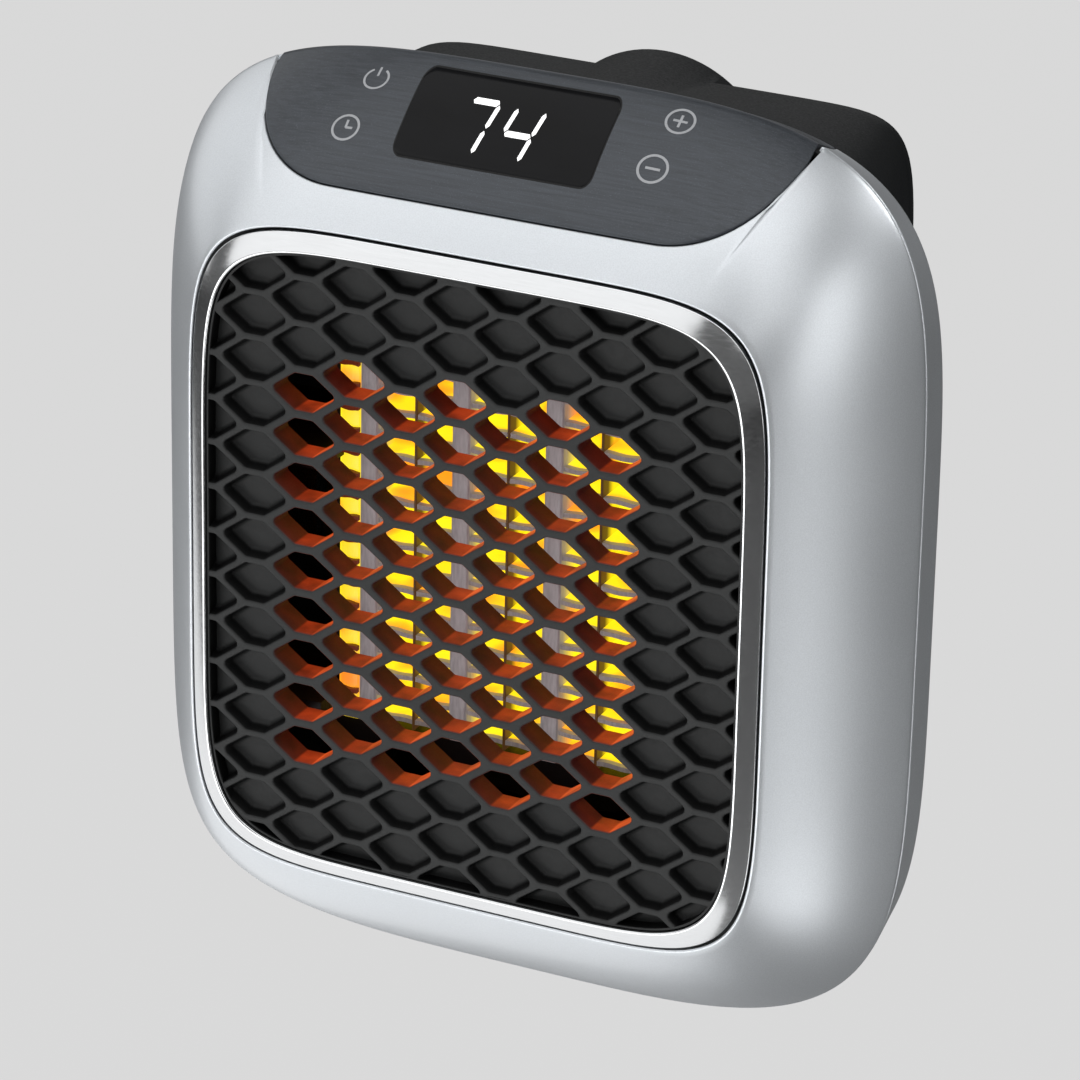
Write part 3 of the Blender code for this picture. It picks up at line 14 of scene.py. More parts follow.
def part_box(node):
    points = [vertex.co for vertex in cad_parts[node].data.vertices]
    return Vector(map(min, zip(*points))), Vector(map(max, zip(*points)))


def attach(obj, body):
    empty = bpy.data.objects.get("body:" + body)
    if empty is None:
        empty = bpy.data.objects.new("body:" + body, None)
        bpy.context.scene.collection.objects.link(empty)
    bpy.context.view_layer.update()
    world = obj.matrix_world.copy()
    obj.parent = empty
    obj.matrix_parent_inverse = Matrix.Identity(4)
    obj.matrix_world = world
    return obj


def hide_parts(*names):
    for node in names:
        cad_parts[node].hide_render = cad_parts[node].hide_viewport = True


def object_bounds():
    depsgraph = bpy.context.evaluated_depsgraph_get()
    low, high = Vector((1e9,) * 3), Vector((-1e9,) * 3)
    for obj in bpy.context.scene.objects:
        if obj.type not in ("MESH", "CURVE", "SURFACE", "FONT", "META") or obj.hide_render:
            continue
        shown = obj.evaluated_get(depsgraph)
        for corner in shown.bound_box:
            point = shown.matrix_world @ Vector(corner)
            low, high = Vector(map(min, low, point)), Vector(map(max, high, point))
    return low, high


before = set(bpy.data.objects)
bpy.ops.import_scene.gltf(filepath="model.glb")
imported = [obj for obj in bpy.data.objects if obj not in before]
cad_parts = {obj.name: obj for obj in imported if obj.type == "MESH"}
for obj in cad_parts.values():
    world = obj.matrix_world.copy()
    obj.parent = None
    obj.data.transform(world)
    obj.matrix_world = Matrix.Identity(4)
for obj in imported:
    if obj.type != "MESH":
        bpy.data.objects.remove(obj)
CAD_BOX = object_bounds()

LOG = logging.getLogger("heater")
PAIR = Tuple[float, float]
TRIPLE = Tuple[float, float, float]
COLOUR = TRIPLE
PIECE = bpy.types.Object
SOCKET = bpy.types.NodeSocket
FACES = List[List[int]]
GRID = List[List[Tuple[Vector, Vector]]]

# The wall behind the plug is y = 0, so a depth behind the ring's outer edge becomes a y
RING_TO_WALL = 0.072

# A hairline gap between neighbours, and how far a helper reaches past what it cuts
HAIR = 0.00015
OVERRUN = 0.001

# Angles from which an edge stays sharp, on plain skins and on pieces that were cut
SHARP_DEGREES = 38
CUT_SHARP_DEGREES = 32

# The angle of half a corner from which it counts as straight, and how far apart double corners are
STRAIGHT_DEGREES = 89
MERGE = 1e-7

REACH_STEPS = 7
HALVINGS = 40


def at_depth(depth: float) -> float:
    """Return the y of a depth behind the trim ring's outer edge."""
    return depth - RING_TO_WALL


def crowded_angles(count: int, share: float = 0.6) -> List[float]:
    """Spread angles round a turn, closer together at the four corners.

    Args:
        count: How many angles.
        share: How strongly they crowd, from 0 for even steps.

    Returns:
        The angles in radians, rising from zero.
    """
    evenly = [2 * math.pi * index / count for index in range(count)]
    return [angle + share * math.sin(4 * angle) / 4 for angle in evenly]


def first_true(low: float, high: float, test: Callable[[float], bool]) -> float:
    """Return where a test turns true between two values.

    Args:
        low: A value at which it is false.
        high: A value at which it is true, above or below the other.
        test: The test.

    Returns:
        The value at which it turns.
    """
    for _ in range(HALVINGS):
        middle = (low + high) / 2
        if test(middle):
            high = middle
        else:
            low = middle
    return (low + high) / 2


# Meshes


def linked(name: str, data: bpy.types.ID) -> PIECE:
    """Return a new object that holds a mesh, lamp or camera, linked into the scene."""
    piece = bpy.data.objects.new(name, data)
    bpy.context.scene.collection.objects.link(piece)
    return piece


def turn_outwards(mesh: bpy.types.Mesh, merge: bool = False) -> None:
    """Turn a mesh's faces outwards, and first join its double corners if asked to."""
    work = bmesh.new()
    work.from_mesh(mesh)
    if merge:
        bmesh.ops.remove_doubles(work, verts=work.verts, dist=MERGE)
    bmesh.ops.recalc_face_normals(work, faces=work.faces)
    work.to_mesh(mesh)
    work.free()


def loose(name: str, points: Sequence[Vector], faces: Sequence[Sequence[int]]) -> PIECE:
    """Make an object that rides on nothing yet.

    Args:
        name: Its name.
        points: Its corners.
        faces: Its faces, as rows of corner numbers.

    Returns:
        The new object, its faces turned outwards.
    """
    mesh = bpy.data.meshes.new(name)
    mesh.from_pydata([tuple(point) for point in points], [], [tuple(face) for face in faces])
    turn_outwards(mesh)
    return linked(name, mesh)


def tidy_mesh(piece: PIECE, sharp_degrees: float = SHARP_DEGREES) -> None:
    """Join a piece's double corners, and shade it smooth between its sharp edges."""
    turn_outwards(piece.data, merge=True)
    piece.data.shade_smooth()
    piece.data.set_sharp_from_angle(angle=math.radians(sharp_degrees))


def object_from(name: str, points: Sequence[Vector], faces: Sequence[Sequence[int]], body: str) -> PIECE:
    """Make a piece that rides on a body.

    Args:
        name: The piece's name.
        points: Its corners.
        faces: Its faces, as rows of corner numbers.
        body: The moving body that carries it.

    Returns:
        The new object, smooth apart from its sharp edges.
    """
    piece = loose(name, points, faces)
    tidy_mesh(piece)
    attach(piece, body)
    return piece


def block(size: TRIPLE, middle: TRIPLE, rounding: float = 0.0) -> PIECE:
    """Make a helper block.

    Args:
        size: Its width, depth and height.
        middle: Its middle, as x, depth and z.
        rounding: The radius of its edges.

    Returns:
        The helper, which rides on nothing.
    """
    work = bmesh.new()
    bmesh.ops.create_cube(work, size=1.0)
    bmesh.ops.scale(work, vec=size, verts=work.verts)
    bmesh.ops.translate(work, vec=(middle[0], at_depth(middle[1]), middle[2]), verts=work.verts)
    if rounding > 0:
        bmesh.ops.bevel(work, geom=work.edges[:], offset=rounding, segments=5, profile=0.5, affect="EDGES")
    mesh = bpy.data.meshes.new("block")
    work.to_mesh(mesh)
    work.free()
    return linked("block", mesh)


def combine(piece: PIECE, others: Sequence[PIECE], how: str) -> None:
    """Join or cut a piece with others, and remove those.

    Args:
        piece: The object that stays.
        others: The objects that are joined to it or cut from it.
        how: UNION or DIFFERENCE.
    """
    for other in others:
        modifier = piece.modifiers.new("combine", "BOOLEAN")
        modifier.operation = how
        modifier.solver = "MANIFOLD"
        modifier.object = other
        graph = bpy.context.evaluated_depsgraph_get()
        result = bpy.data.meshes.new_from_object(piece.evaluated_get(graph))
        piece.modifiers.remove(modifier)
        piece.data = result
        bpy.data.objects.remove(other, do_unlink=True)


def loop_faces(near: Sequence[int], far: Sequence[int]) -> FACES:
    """Return the four-sided faces between two closed loops of corner numbers."""
    count = len(near)
    return [[near[i], near[(i + 1) % count], far[(i + 1) % count], far[i]] for i in range(count)]


def strip_faces(start: int, spans: int) -> FACES:
    """Return the faces of a closed strip that has four corners at each step.

    Args:
        start: The number of its first corner.
        spans: How many spans it has.

    Returns:
        Its long faces, and the two that end it.
    """
    faces = []
    for step in range(spans):
        a, b = start + 4 * step, start + 4 * step + 4
        faces += [[a, a + 1, b + 1, b], [a + 2, b + 2, b + 3, a + 3]]
        faces += [[a, b, b + 2, a + 2], [a + 1, a + 3, b + 3, b + 1]]
    end = start + 4 * spans
    return faces + [[start, start + 2, start + 3, start + 1], [end, end + 1, end + 3, end + 2]]


def skin_rows(rows: Sequence[Sequence[Vector]], closed: bool) -> Tuple[List[Vector], FACES]:
    """Join rows of points, each a closed loop, with four-sided faces.

    Args:
        rows: Loops with the same number of points.
        closed: Whether the last loop joins the first; otherwise both get an end face.

    Returns:
        The points and faces of the skin.
    """
    count = len(rows[0])
    loops = [range(row * count, (row + 1) * count) for row in range(len(rows))]
    faces = [face for near, far in zip(loops, loops[1:]) for face in loop_faces(near, far)]
    faces += loop_faces(loops[-1], loops[0]) if closed else [list(loops[0]), list(loops[-1])]
    return [point for row in rows for point in row], faces


def hexagon(half_width: float, half_flat: float, half_height: float) -> List[PAIR]:
    """Return the corners of a flat-topped hexagon, from its right one."""
    upper = [(half_width, 0), (half_flat, half_height), (-half_flat, half_height)]
    return upper + [(-x, -z) for x, z in upper]


def soften(profile: Sequence[PAIR], radii: Sequence[float], steps: int = 4) -> List[PAIR]:
    """Round the corners of a closed profile.

    Args:
        profile: The corners, in order.
        radii: The radius at each corner, zero where it stays sharp.
        steps: How many spans each round corner gets.

    Returns:
        The rounded profile's points.
    """
    rounded = []
    count = len(profile)
    for index, (corner, radius) in enumerate(zip(profile, radii)):
        here = Vector(corner)
        to_last = (Vector(profile[index - 1]) - here).normalized()
        to_next = (Vector(profile[(index + 1) % count]) - here).normalized()
        half = math.acos(max(-1.0, min(1.0, to_last.dot(to_next)))) / 2
        if radius <= 0 or half > math.radians(STRAIGHT_DEGREES):
            rounded.append(tuple(here))
            continue
        centre = here + (to_last + to_next).normalized() * (radius / math.sin(half))
        first = here + to_last * (radius / math.tan(half)) - centre
        last = here + to_next * (radius / math.tan(half)) - centre
        for step in range(steps + 1):
            share = step / steps
            arm = first.slerp(last, share).normalized() * radius
            rounded.append(tuple(centre + arm))
    return rounded


def lathe(profile: Sequence[PAIR], x: float, z: float, count: int) -> List[List[Vector]]:
    """Turn a profile round an axis that runs from front to back.

    Args:
        profile: Radius and depth of each point, in order.
        x: The axis's place across.
        z: The axis's height.
        count: How many steps round.

    Returns:
        Rows of points, one for each point of the profile.
    """
    turns = [2 * math.pi * step / count for step in range(count)]
    return [
        [Vector((x + radius * math.cos(a), at_depth(depth), z + radius * math.sin(a))) for a in turns]
        for radius, depth in profile
    ]


@dataclass(frozen=True)
class Section:
    """One superellipse section of the casing, square to the depth."""

    half_width: float
    half_height: float
    squareness: PAIR
    z: float
    depth: float

    def point(self, angle: float) -> Vector:
        """Return the section's point at an angle round it."""
        c, s = math.cos(angle), math.sin(angle)
        across, up = self.squareness
        reach = 1 / max(abs(c), abs(s))
        for _ in range(REACH_STEPS):
            wide, tall = (reach * abs(c)) ** across, (reach * abs(s)) ** up
            reach *= 1 - (wide + tall - 1) / (across * wide + up * tall)
        x, z = self.half_width * reach * c, self.z + self.half_height * reach * s
        return Vector((x, at_depth(self.depth), z))

    def top(self, x: float) -> Vector:
        """Return the point on the section's upper half over a place across."""
        across, up = self.squareness
        share = max(0.0, 1 - abs(x / self.half_width) ** across)
        return Vector((x, at_depth(self.depth), self.z + self.half_height * share ** (1 / up)))

    def angle_at(self, x: float) -> float:
        """Return the angle of the upper point over a place across."""
        point = self.top(x)
        return math.atan2((point.z - self.z) / self.half_height, x / self.half_width)

    def row(self, count: int) -> List[Vector]:
        """Return the section's points, closer together at its corners."""
        return [self.point(angle) for angle in crowded_angles(count)]


@dataclass(frozen=True)
class Casing:
    """The outer form that the shells and the control panel share.

    A place along the skin runs from 0 at the trim ring's well to 1 at the parting line,
    2 at the end of the straight band and 3 at the rear edge.
    """

    half_width: float = 0.0664
    half_height: float = 0.0787
    squareness: PAIR = (3.8, 5.2)
    centre_z: float = -0.0482
    ring_half_width: float = 0.0500
    ring_half_height: float = 0.0556
    ring_squareness: float = 6.4
    ring_z: float = -0.0490
    seam: float = 0.0006
    crown_depth: float = 0.0245
    crown_start: float = math.radians(30)
    crown_end: float = math.radians(60)
    crease_place: float = 0.85
    crease_angle: float = math.radians(84)
    crease_round: float = 0.045
    band_length: float = 0.0070
    band_draft: float = 0.0002
    band_fall: float = 0.0030
    round_depth: float = 0.0032
    round_inset: float = 0.0062
    round_angle: float = math.radians(78)
    wall: float = 0.0026

    @property
    def band_end(self) -> float:
        """Depth at which the band starts to turn inwards."""
        return self.crown_depth + self.band_length

    @property
    def band_back(self) -> float:
        """Depth of the silver casing's rear edge."""
        return self.band_end + self.round_depth

    def section(self, place: float) -> Section:
        """Return the skin's section at a place along it."""
        if place <= 1:
            spread, sink = self.crown_share(place)
            well = self.ring(-self.seam, self.crown_depth * sink)
            width = well.half_width + (self.half_width - well.half_width) * spread
            height = well.half_height + (self.half_height - well.half_height) * spread
            across, up = [self.ring_squareness + (n - self.ring_squareness) * spread for n in self.squareness]
            z = self.ring_z + (self.centre_z - self.ring_z) * spread
            return Section(width, height, (across, up), z, well.depth)
        if place <= 2:
            share = place - 1
            depth = self.crown_depth + self.band_length * share
            return self.body(self.band_draft * share, depth, self.band_fall * share)
        angle = self.round_angle * (place - 2)
        share = (1 - math.cos(angle)) / (1 - math.cos(self.round_angle))
        inset = self.band_draft + (self.round_inset - self.band_draft) * share
        depth = self.band_end + self.round_depth * math.sin(angle) / math.sin(self.round_angle)
        return self.body(inset, depth, self.band_fall * (1 - share))

    def crown_share(self, place: float) -> PAIR:
        """Return the shares of the crown's spread and depth at a place: a long arc, then a tight one."""
        if place >= 1:
            return 1.0, 1.0
        bend = min(1.0, place / self.crease_place)
        turn = max(0.0, (place - self.crease_place) / (1 - self.crease_place))
        out, down = self.crown_run(
            self.crown_start + (self.crown_end - self.crown_start) * bend,
            self.crown_end + (self.crease_angle - self.crown_end) * turn,
        )
        whole_out, whole_down = self.crown_run(self.crown_end, self.crease_angle)
        return out / whole_out, down / whole_down

    def crown_run(self, angle: float, tight: float) -> PAIR:
        """Return how far the crown spreads and sinks up to an angle on each of its two arcs."""
        out = math.sin(angle) - math.sin(self.crown_start)
        out += self.crease_round * (math.sin(tight) - math.sin(self.crown_end))
        down = math.cos(self.crown_start) - math.cos(angle)
        down += self.crease_round * (math.cos(self.crown_end) - math.cos(tight))
        return out, down

    def body(self, inset: float, depth: float, fall: float = 0.0) -> Section:
        """Return the body's widest outline at a depth, drawn in, and lower by a fall at its ends."""
        return Section(
            self.half_width - inset, self.half_height - inset - fall, self.squareness, self.centre_z, depth
        )

    def ring(self, inwards: float, depth: float) -> Section:
        """Return the trim ring's outline, drawn in, at a depth."""
        return Section(
            self.ring_half_width - inwards,
            self.ring_half_height - inwards,
            (self.ring_squareness, self.ring_squareness),
            self.ring_z,
            depth,
        )

    def around(self, angle: float, place: float) -> Tuple[Vector, Vector]:
        """Return the skin's point and outward normal at an angle and a place."""
        return self._with_normal(lambda a, p: self.section(p).point(a), angle, place, 1e-4)

    def over(self, x: float, place: float) -> Tuple[Vector, Vector]:
        """Return the upper skin's point and outward normal over x at a place."""
        return self._with_normal(lambda a, p: self.section(p).top(a), x, place, 2e-5)

    def _with_normal(
        self, surface: Callable[[float, float], Vector], first: float, place: float, step: float
    ) -> Tuple[Vector, Vector]:
        """Return a surface's point and its normal, turned away from the casing's middle."""
        low, high = max(0.0, place - 1e-3), min(3.0, place + 1e-3)
        if low < 1 < high:
            low, high = (low, 1.0) if place <= 1 else (1.0001, high)
        along = surface(first, high) - surface(first, low)
        across = surface(first + step, place) - surface(first - step, place)
        point = surface(first, place)
        normal = along.cross(across).normalized()
        middle = Vector((0, at_depth(self.crown_depth), self.centre_z))
        return point, normal if normal.dot(point - middle) > 0 else -normal

    def place_of(self, x: float, z: float) -> float:
        """Return the place on the crown over x that shows at a height from the front."""
        return first_true(0.0, 1.0, lambda place: self.section(place).top(x).z >= z)

    def top_z(self) -> float:
        """Return the casing's highest z."""
        return self.centre_z + self.half_height


@dataclass
class Sheet:
    """A curved skin on a grid of points and outward normals, thickened, with rolled edges.

    A closed sheet's rows run right round, and its first edge may have an inner wall that doesn't
    run straight inwards.
    """

    grid: GRID
    closed: bool
    edge_radius: float
    thickness: float
    inner_wall: Optional[Vector] = None

    def loops(self) -> List[List[Tuple[int, int]]]:
        """Return the sheet's edges as loops of grid places."""
        rows, columns = len(self.grid), len(self.grid[0])
        if self.closed:
            return [[(0, c) for c in range(columns)], [(rows - 1, c) for c in range(columns)]]
        loop = [(0, c) for c in range(columns)]
        loop += [(r, columns - 1) for r in range(1, rows)]
        loop += [(rows - 1, c) for c in range(columns - 2, -1, -1)]
        loop += [(r, 0) for r in range(rows - 2, 0, -1)]
        return [loop]

    def outward(self, loop: List[Tuple[int, int]], index: int) -> Vector:
        """Return the direction that leaves the sheet at an edge place, along its surface."""
        beside = (loop[index - 1], loop[(index + 1) % len(loop)])
        before, after = [self.grid[row][column][0] for row, column in beside]
        row, column = loop[index]
        point, normal = self.grid[row][column]
        side = (after - before).cross(normal).normalized()
        inner_row = min(max(row, 1), len(self.grid) - 2)
        inner_column = column if self.closed else min(max(column, 1), len(self.grid[0]) - 2)
        return side if side.dot(point - self.grid[inner_row][inner_column][0]) > 0 else -side

    def build(self, name: str, body: str, roll_steps: int = 3) -> PIECE:
        """Build the sheet as one closed mesh.

        Args:
            name: The piece's name.
            body: The body that carries it.
            roll_steps: How many spans its rolled edges get.

        Returns:
            The new object.
        """
        rows, columns = len(self.grid), len(self.grid[0])
        points = [point for row in self.grid for point, _ in row]
        offset = len(points)
        points += [point - normal * self.thickness for row in self.grid for point, normal in row]
        faces = []
        for row in range(rows - 1):
            for column in range(columns if self.closed else columns - 1):
                after = (column + 1) % columns
                near, far = row * columns, (row + 1) * columns
                corners = [near + column, near + after, far + after, far + column]
                faces.append(corners)
                faces.append([corner + offset for corner in reversed(corners)])
        radius = self.edge_radius
        for number, loop in enumerate(self.loops()):
            previous = [row * columns + column for row, column in loop]
            sides = [self.outward(loop, index) for index in range(len(loop))]
            normals = [self.grid[row][column][1] for row, column in loop]
            edges = [self.grid[row][column][0] for row, column in loop]
            for corner, edge, side in zip(previous, edges, sides):
                points[corner] = edge - side * radius
            for step in range(1, roll_steps + 1):
                angle = math.pi / 2 * step / roll_steps
                current = []
                for side, normal, edge in zip(sides, normals, edges):
                    sunk = normal * (radius * (1 - math.cos(angle)))
                    current.append(len(points))
                    points.append(edge - sunk - side * (radius * (1 - math.sin(angle))))
                faces += loop_faces(previous, current)
                previous = current
            last = [row * columns + column + offset for row, column in loop]
            if number == 0 and self.inner_wall is not None:
                for corner, edge in zip(last, edges):
                    points[corner] = edge + self.inner_wall
            faces += loop_faces(previous, last)
        return object_from(name, points, faces, body)


# Finishes


def shade_of(colour: COLOUR, factor: float) -> COLOUR:
    """Return a colour made lighter or darker by a factor."""
    return tuple(min(1.0, channel * factor) for channel in colour)


class NodeSheet:
    """A material's nodes, with short calls for the ones that the finishes use."""

    def __init__(self, name: str, **values: object) -> None:
        """Start a material with one main shader.

        Args:
            name: The material's name.
            values: Numbers and colours for the shader's own sockets, with underscores for spaces.
        """
        self.material = bpy.data.materials.new(name)
        self.material.use_nodes = True
        self.tree = self.material.node_tree
        self.tree.nodes.clear()
        self.output = self.add("ShaderNodeOutputMaterial")
        self.shader = self.add("ShaderNodeBsdfPrincipled")
        self.link(self.shader.outputs["BSDF"], self.output.inputs["Surface"])
        self.coordinates = self.add("ShaderNodeTexCoord")
        for key, value in values.items():
            socket = self.shader.inputs[key.replace("_", " ")]
            socket.default_value = (*value, 1.0) if isinstance(value, tuple) else value

    def add(self, kind: str, **settings: object) -> bpy.types.Node:
        """Add a node and set its properties."""
        node = self.tree.nodes.new(kind)
        for key, value in settings.items():
            setattr(node, key, value)
        return node

    def link(self, source: SOCKET, target: SOCKET) -> None:
        """Link two sockets."""
        self.tree.links.new(source, target)

    def to(self, value: SOCKET, socket: str) -> None:
        """Link a value or colour to the main shader's socket of that name."""
        self.link(value, self.shader.inputs[socket])

    def stretched(self, stretch: TRIPLE) -> SOCKET:
        """Return the piece's own coordinates, scaled along each axis."""
        mapping = self.add("ShaderNodeMapping")
        mapping.inputs["Scale"].default_value = stretch
        self.link(self.coordinates.outputs["Object"], mapping.inputs["Vector"])
        return mapping.outputs["Vector"]

    def split(self, source: str) -> bpy.types.Node:
        """Return a node with the X, Y and Z of one of the piece's own coordinates."""
        node = self.add("ShaderNodeSeparateXYZ")
        self.link(self.coordinates.outputs[source], node.inputs["Vector"])
        return node

    def lift(self) -> SOCKET:
        """Return the lattice's painted light at each corner: painted shade down the walls, full light on the
        face.
        """
        return self.add("ShaderNodeAttribute", attribute_name="lift").outputs["Fac"]

    def noise(
        self, scale: float, detail: float = 2.0, roughness: float = 0.5, stretch: TRIPLE = (1.0, 1.0, 1.0)
    ) -> SOCKET:
        """Return a cloudy pattern's value.

        Args:
            scale: Features for each metre.
            detail: How many finer layers it has.
            roughness: How strong the finer layers are.
            stretch: Scale along each axis, to draw it out.

        Returns:
            A value from 0 to 1.
        """
        node = self.add("ShaderNodeTexNoise")
        for key, number in (("Scale", scale), ("Detail", detail), ("Roughness", roughness)):
            node.inputs[key].default_value = number
        self.link(self.stretched(stretch), node.inputs["Vector"])
        return node.outputs["Fac"]

    def between(self, value: SOCKET, low: float, high: float, to_low: float, to_high: float) -> SOCKET:
        """Return a value moved from one range to another, and kept in it."""
        node = self.add("ShaderNodeMapRange")
        for key, number in (("From Min", low), ("From Max", high), ("To Min", to_low), ("To Max", to_high)):
            node.inputs[key].default_value = number
        self.link(value, node.inputs["Value"])
        return node.outputs["Result"]

    def gloss(self, value: SOCKET, low: float, high: float) -> None:
        """Let the roughness follow a pattern between two numbers."""
        self.to(self.between(value, 0.3, 0.7, low, high), "Roughness")

    def ramp(self, value: SOCKET, stops: Sequence[Tuple[float, COLOUR]]) -> SOCKET:
        """Return a colour that follows a value through some stops."""
        node = self.add("ShaderNodeValToRGB")
        elements = node.color_ramp.elements
        while len(elements) > 1:
            elements.remove(elements[-1])
        elements[0].position = stops[0][0]
        elements[0].color = (*stops[0][1], 1.0)
        for position, colour in stops[1:]:
            elements.new(position).color = (*colour, 1.0)
        self.link(value, node.inputs["Fac"])
        return node.outputs["Color"]

    def shades(
        self, value: SOCKET, colour: COLOUR, dark: float, light: float, low: float = 0.3, high: float = 0.7
    ) -> SOCKET:
        """Return a colour that goes from one shade to another as a pattern goes from low to high."""
        return self.ramp(value, [(low, shade_of(colour, dark)), (high, shade_of(colour, light))])

    def mix(self, first: SOCKET, second: SOCKET, share: Optional[SOCKET] = None) -> SOCKET:
        """Return two colours mixed by a share, or multiplied where there is none."""
        node = self.add("ShaderNodeMix", data_type="RGBA", blend_type="MIX" if share else "MULTIPLY")
        node.inputs["Factor"].default_value = 1.0
        if share:
            self.link(share, node.inputs["Factor"])
        self.link(first, node.inputs["A"])
        self.link(second, node.inputs["B"])
        return node.outputs["Result"]

    def bump(self, height: SOCKET, strength: float, distance: float) -> None:
        """Raise the surface by a pattern.

        Args:
            height: The pattern.
            strength: How much of it shows, from 0 to 1.
            distance: Its full height in metres.
        """
        node = self.add("ShaderNodeBump")
        node.inputs["Strength"].default_value = strength
        node.inputs["Distance"].default_value = distance
        self.link(height, node.inputs["Height"])
        self.to(node.outputs["Normal"], "Normal")


@dataclass(frozen=True)
class Finish:
    """A finish that builds its material once and dresses pieces with it."""

    name: str

    def nodes(self) -> NodeSheet:
        """Return the finish's nodes, which each kind of finish makes its own way."""
        raise NotImplementedError

    def sheet(self, **values: object) -> NodeSheet:
        """Return a new sheet of nodes for this finish, with some of the shader's sockets set."""
        return NodeSheet("look_" + self.name, **values)

    def material(self) -> bpy.types.Material:
        """Return the finish's material, made at its first use."""
        found = bpy.data.materials.get("look_" + self.name)
        return found if found else self.nodes().material

    def dress(self, *pieces: PIECE) -> None:
        """Give pieces this finish in every material slot."""
        for piece in pieces:
            if not piece.data.materials:
                piece.data.materials.append(self.material())
            for slot in piece.material_slots:
                slot.material = self.material()


@dataclass(frozen=True)
class SprayedPaint(Finish):
    """Satin metallic paint with fine flakes under a thin clear coat."""

    colour: COLOUR = (0.5, 0.5, 0.5)
    roughness: float = 0.34
    metallic: float = 0.85
    coat: float = 0.25
    flake: float = 5200.0
    flake_contrast: float = 0.05

    def nodes(self) -> NodeSheet:
        """Return paint nodes: flakes in the colour, soft clouds in the gloss, faint orange peel."""
        sheet = self.sheet(Metallic=self.metallic, Coat_Weight=self.coat, Coat_Roughness=0.16)
        flakes = sheet.noise(self.flake, detail=1.0)
        dark, light = 1 - self.flake_contrast, 1 + self.flake_contrast
        sheet.to(sheet.shades(flakes, self.colour, dark, light), "Base Color")
        sheet.gloss(sheet.noise(45.0, detail=3.0), self.roughness - 0.02, self.roughness + 0.02)
        sheet.bump(sheet.noise(1100.0, detail=1.0), 0.10, 0.00004)
        return sheet


@dataclass(frozen=True)
class BrushedLacquer(Finish):
    """Dark lacquer with fine brush lines across and small bright specks."""

    colour: COLOUR = (0.05, 0.05, 0.06)
    roughness: float = 0.36
    metallic: float = 0.35

    def nodes(self) -> NodeSheet:
        """Return lacquer nodes: brush lines in colour and height, specks in the colour."""
        sheet = self.sheet(Metallic=self.metallic, Coat_Weight=0.12, Coat_Roughness=0.22)
        lines = sheet.noise(1.0, detail=4.0, roughness=0.7, stretch=(90.0, 2600.0, 2600.0))
        brushed = sheet.shades(lines, self.colour, 0.78, 1.30, 0.32, 0.68)
        specks = sheet.between(sheet.noise(6500.0, detail=0.0), 0.68, 0.78, 0.0, 0.35)
        bright = sheet.shades(lines, self.colour, 2.6, 3.4, 0.0, 1.0)
        sheet.to(sheet.mix(brushed, bright, specks), "Base Color")
        sheet.gloss(lines, self.roughness - 0.05, self.roughness + 0.07)
        sheet.bump(lines, 0.18, 0.00003)
        return sheet


@dataclass(frozen=True)
class MouldedPlastic(Finish):
    """Moulded plastic with a spark-etched grain and faint random clouds in its tone."""

    colour: COLOUR = (0.012, 0.012, 0.013)
    roughness: float = 0.5
    grain: float = 2600.0
    grain_depth: float = 0.00005
    specular: float = 0.4

    def nodes(self) -> NodeSheet:
        """Return plastic nodes: etched grain in height and gloss, faint clouds in the colour."""
        sheet = self.sheet(Specular_IOR_Level=self.specular)
        sheet.to(sheet.shades(sheet.noise(60.0, detail=4.0), self.colour, 0.88, 1.14), "Base Color")
        grain = sheet.noise(self.grain, roughness=0.6)
        sheet.gloss(grain, self.roughness - 0.06, self.roughness + 0.08)
        sheet.bump(grain, 0.35, self.grain_depth)
        return sheet


@dataclass(frozen=True)
class LatticePlastic(Finish):
    """Black grille plastic: grey on its webs and pocket floors, with painted shade that turns it black down
    the pocket walls.
    """

    dark: COLOUR = (0.0012, 0.0012, 0.0013)
    light: COLOUR = (0.022, 0.023, 0.023)

    def nodes(self) -> NodeSheet:
        """Return plastic nodes whose colour follows the mesh's painted light, from painted shade at the walls
        to the plastic's grey on the face.
        """
        sheet = self.sheet(Specular_IOR_Level=0.3)
        # Painted shade: black at the walls, the plastic's grey on the lit face
        colours = [(0.0, self.dark), (0.45, shade_of(self.light, 0.70)), (1.0, self.light)]
        sheet.to(sheet.ramp(sheet.lift(), colours), "Base Color")
        grain = sheet.noise(3000.0)
        sheet.gloss(grain, 0.50, 0.60)
        sheet.bump(grain, 0.2, 0.00003)
        return sheet


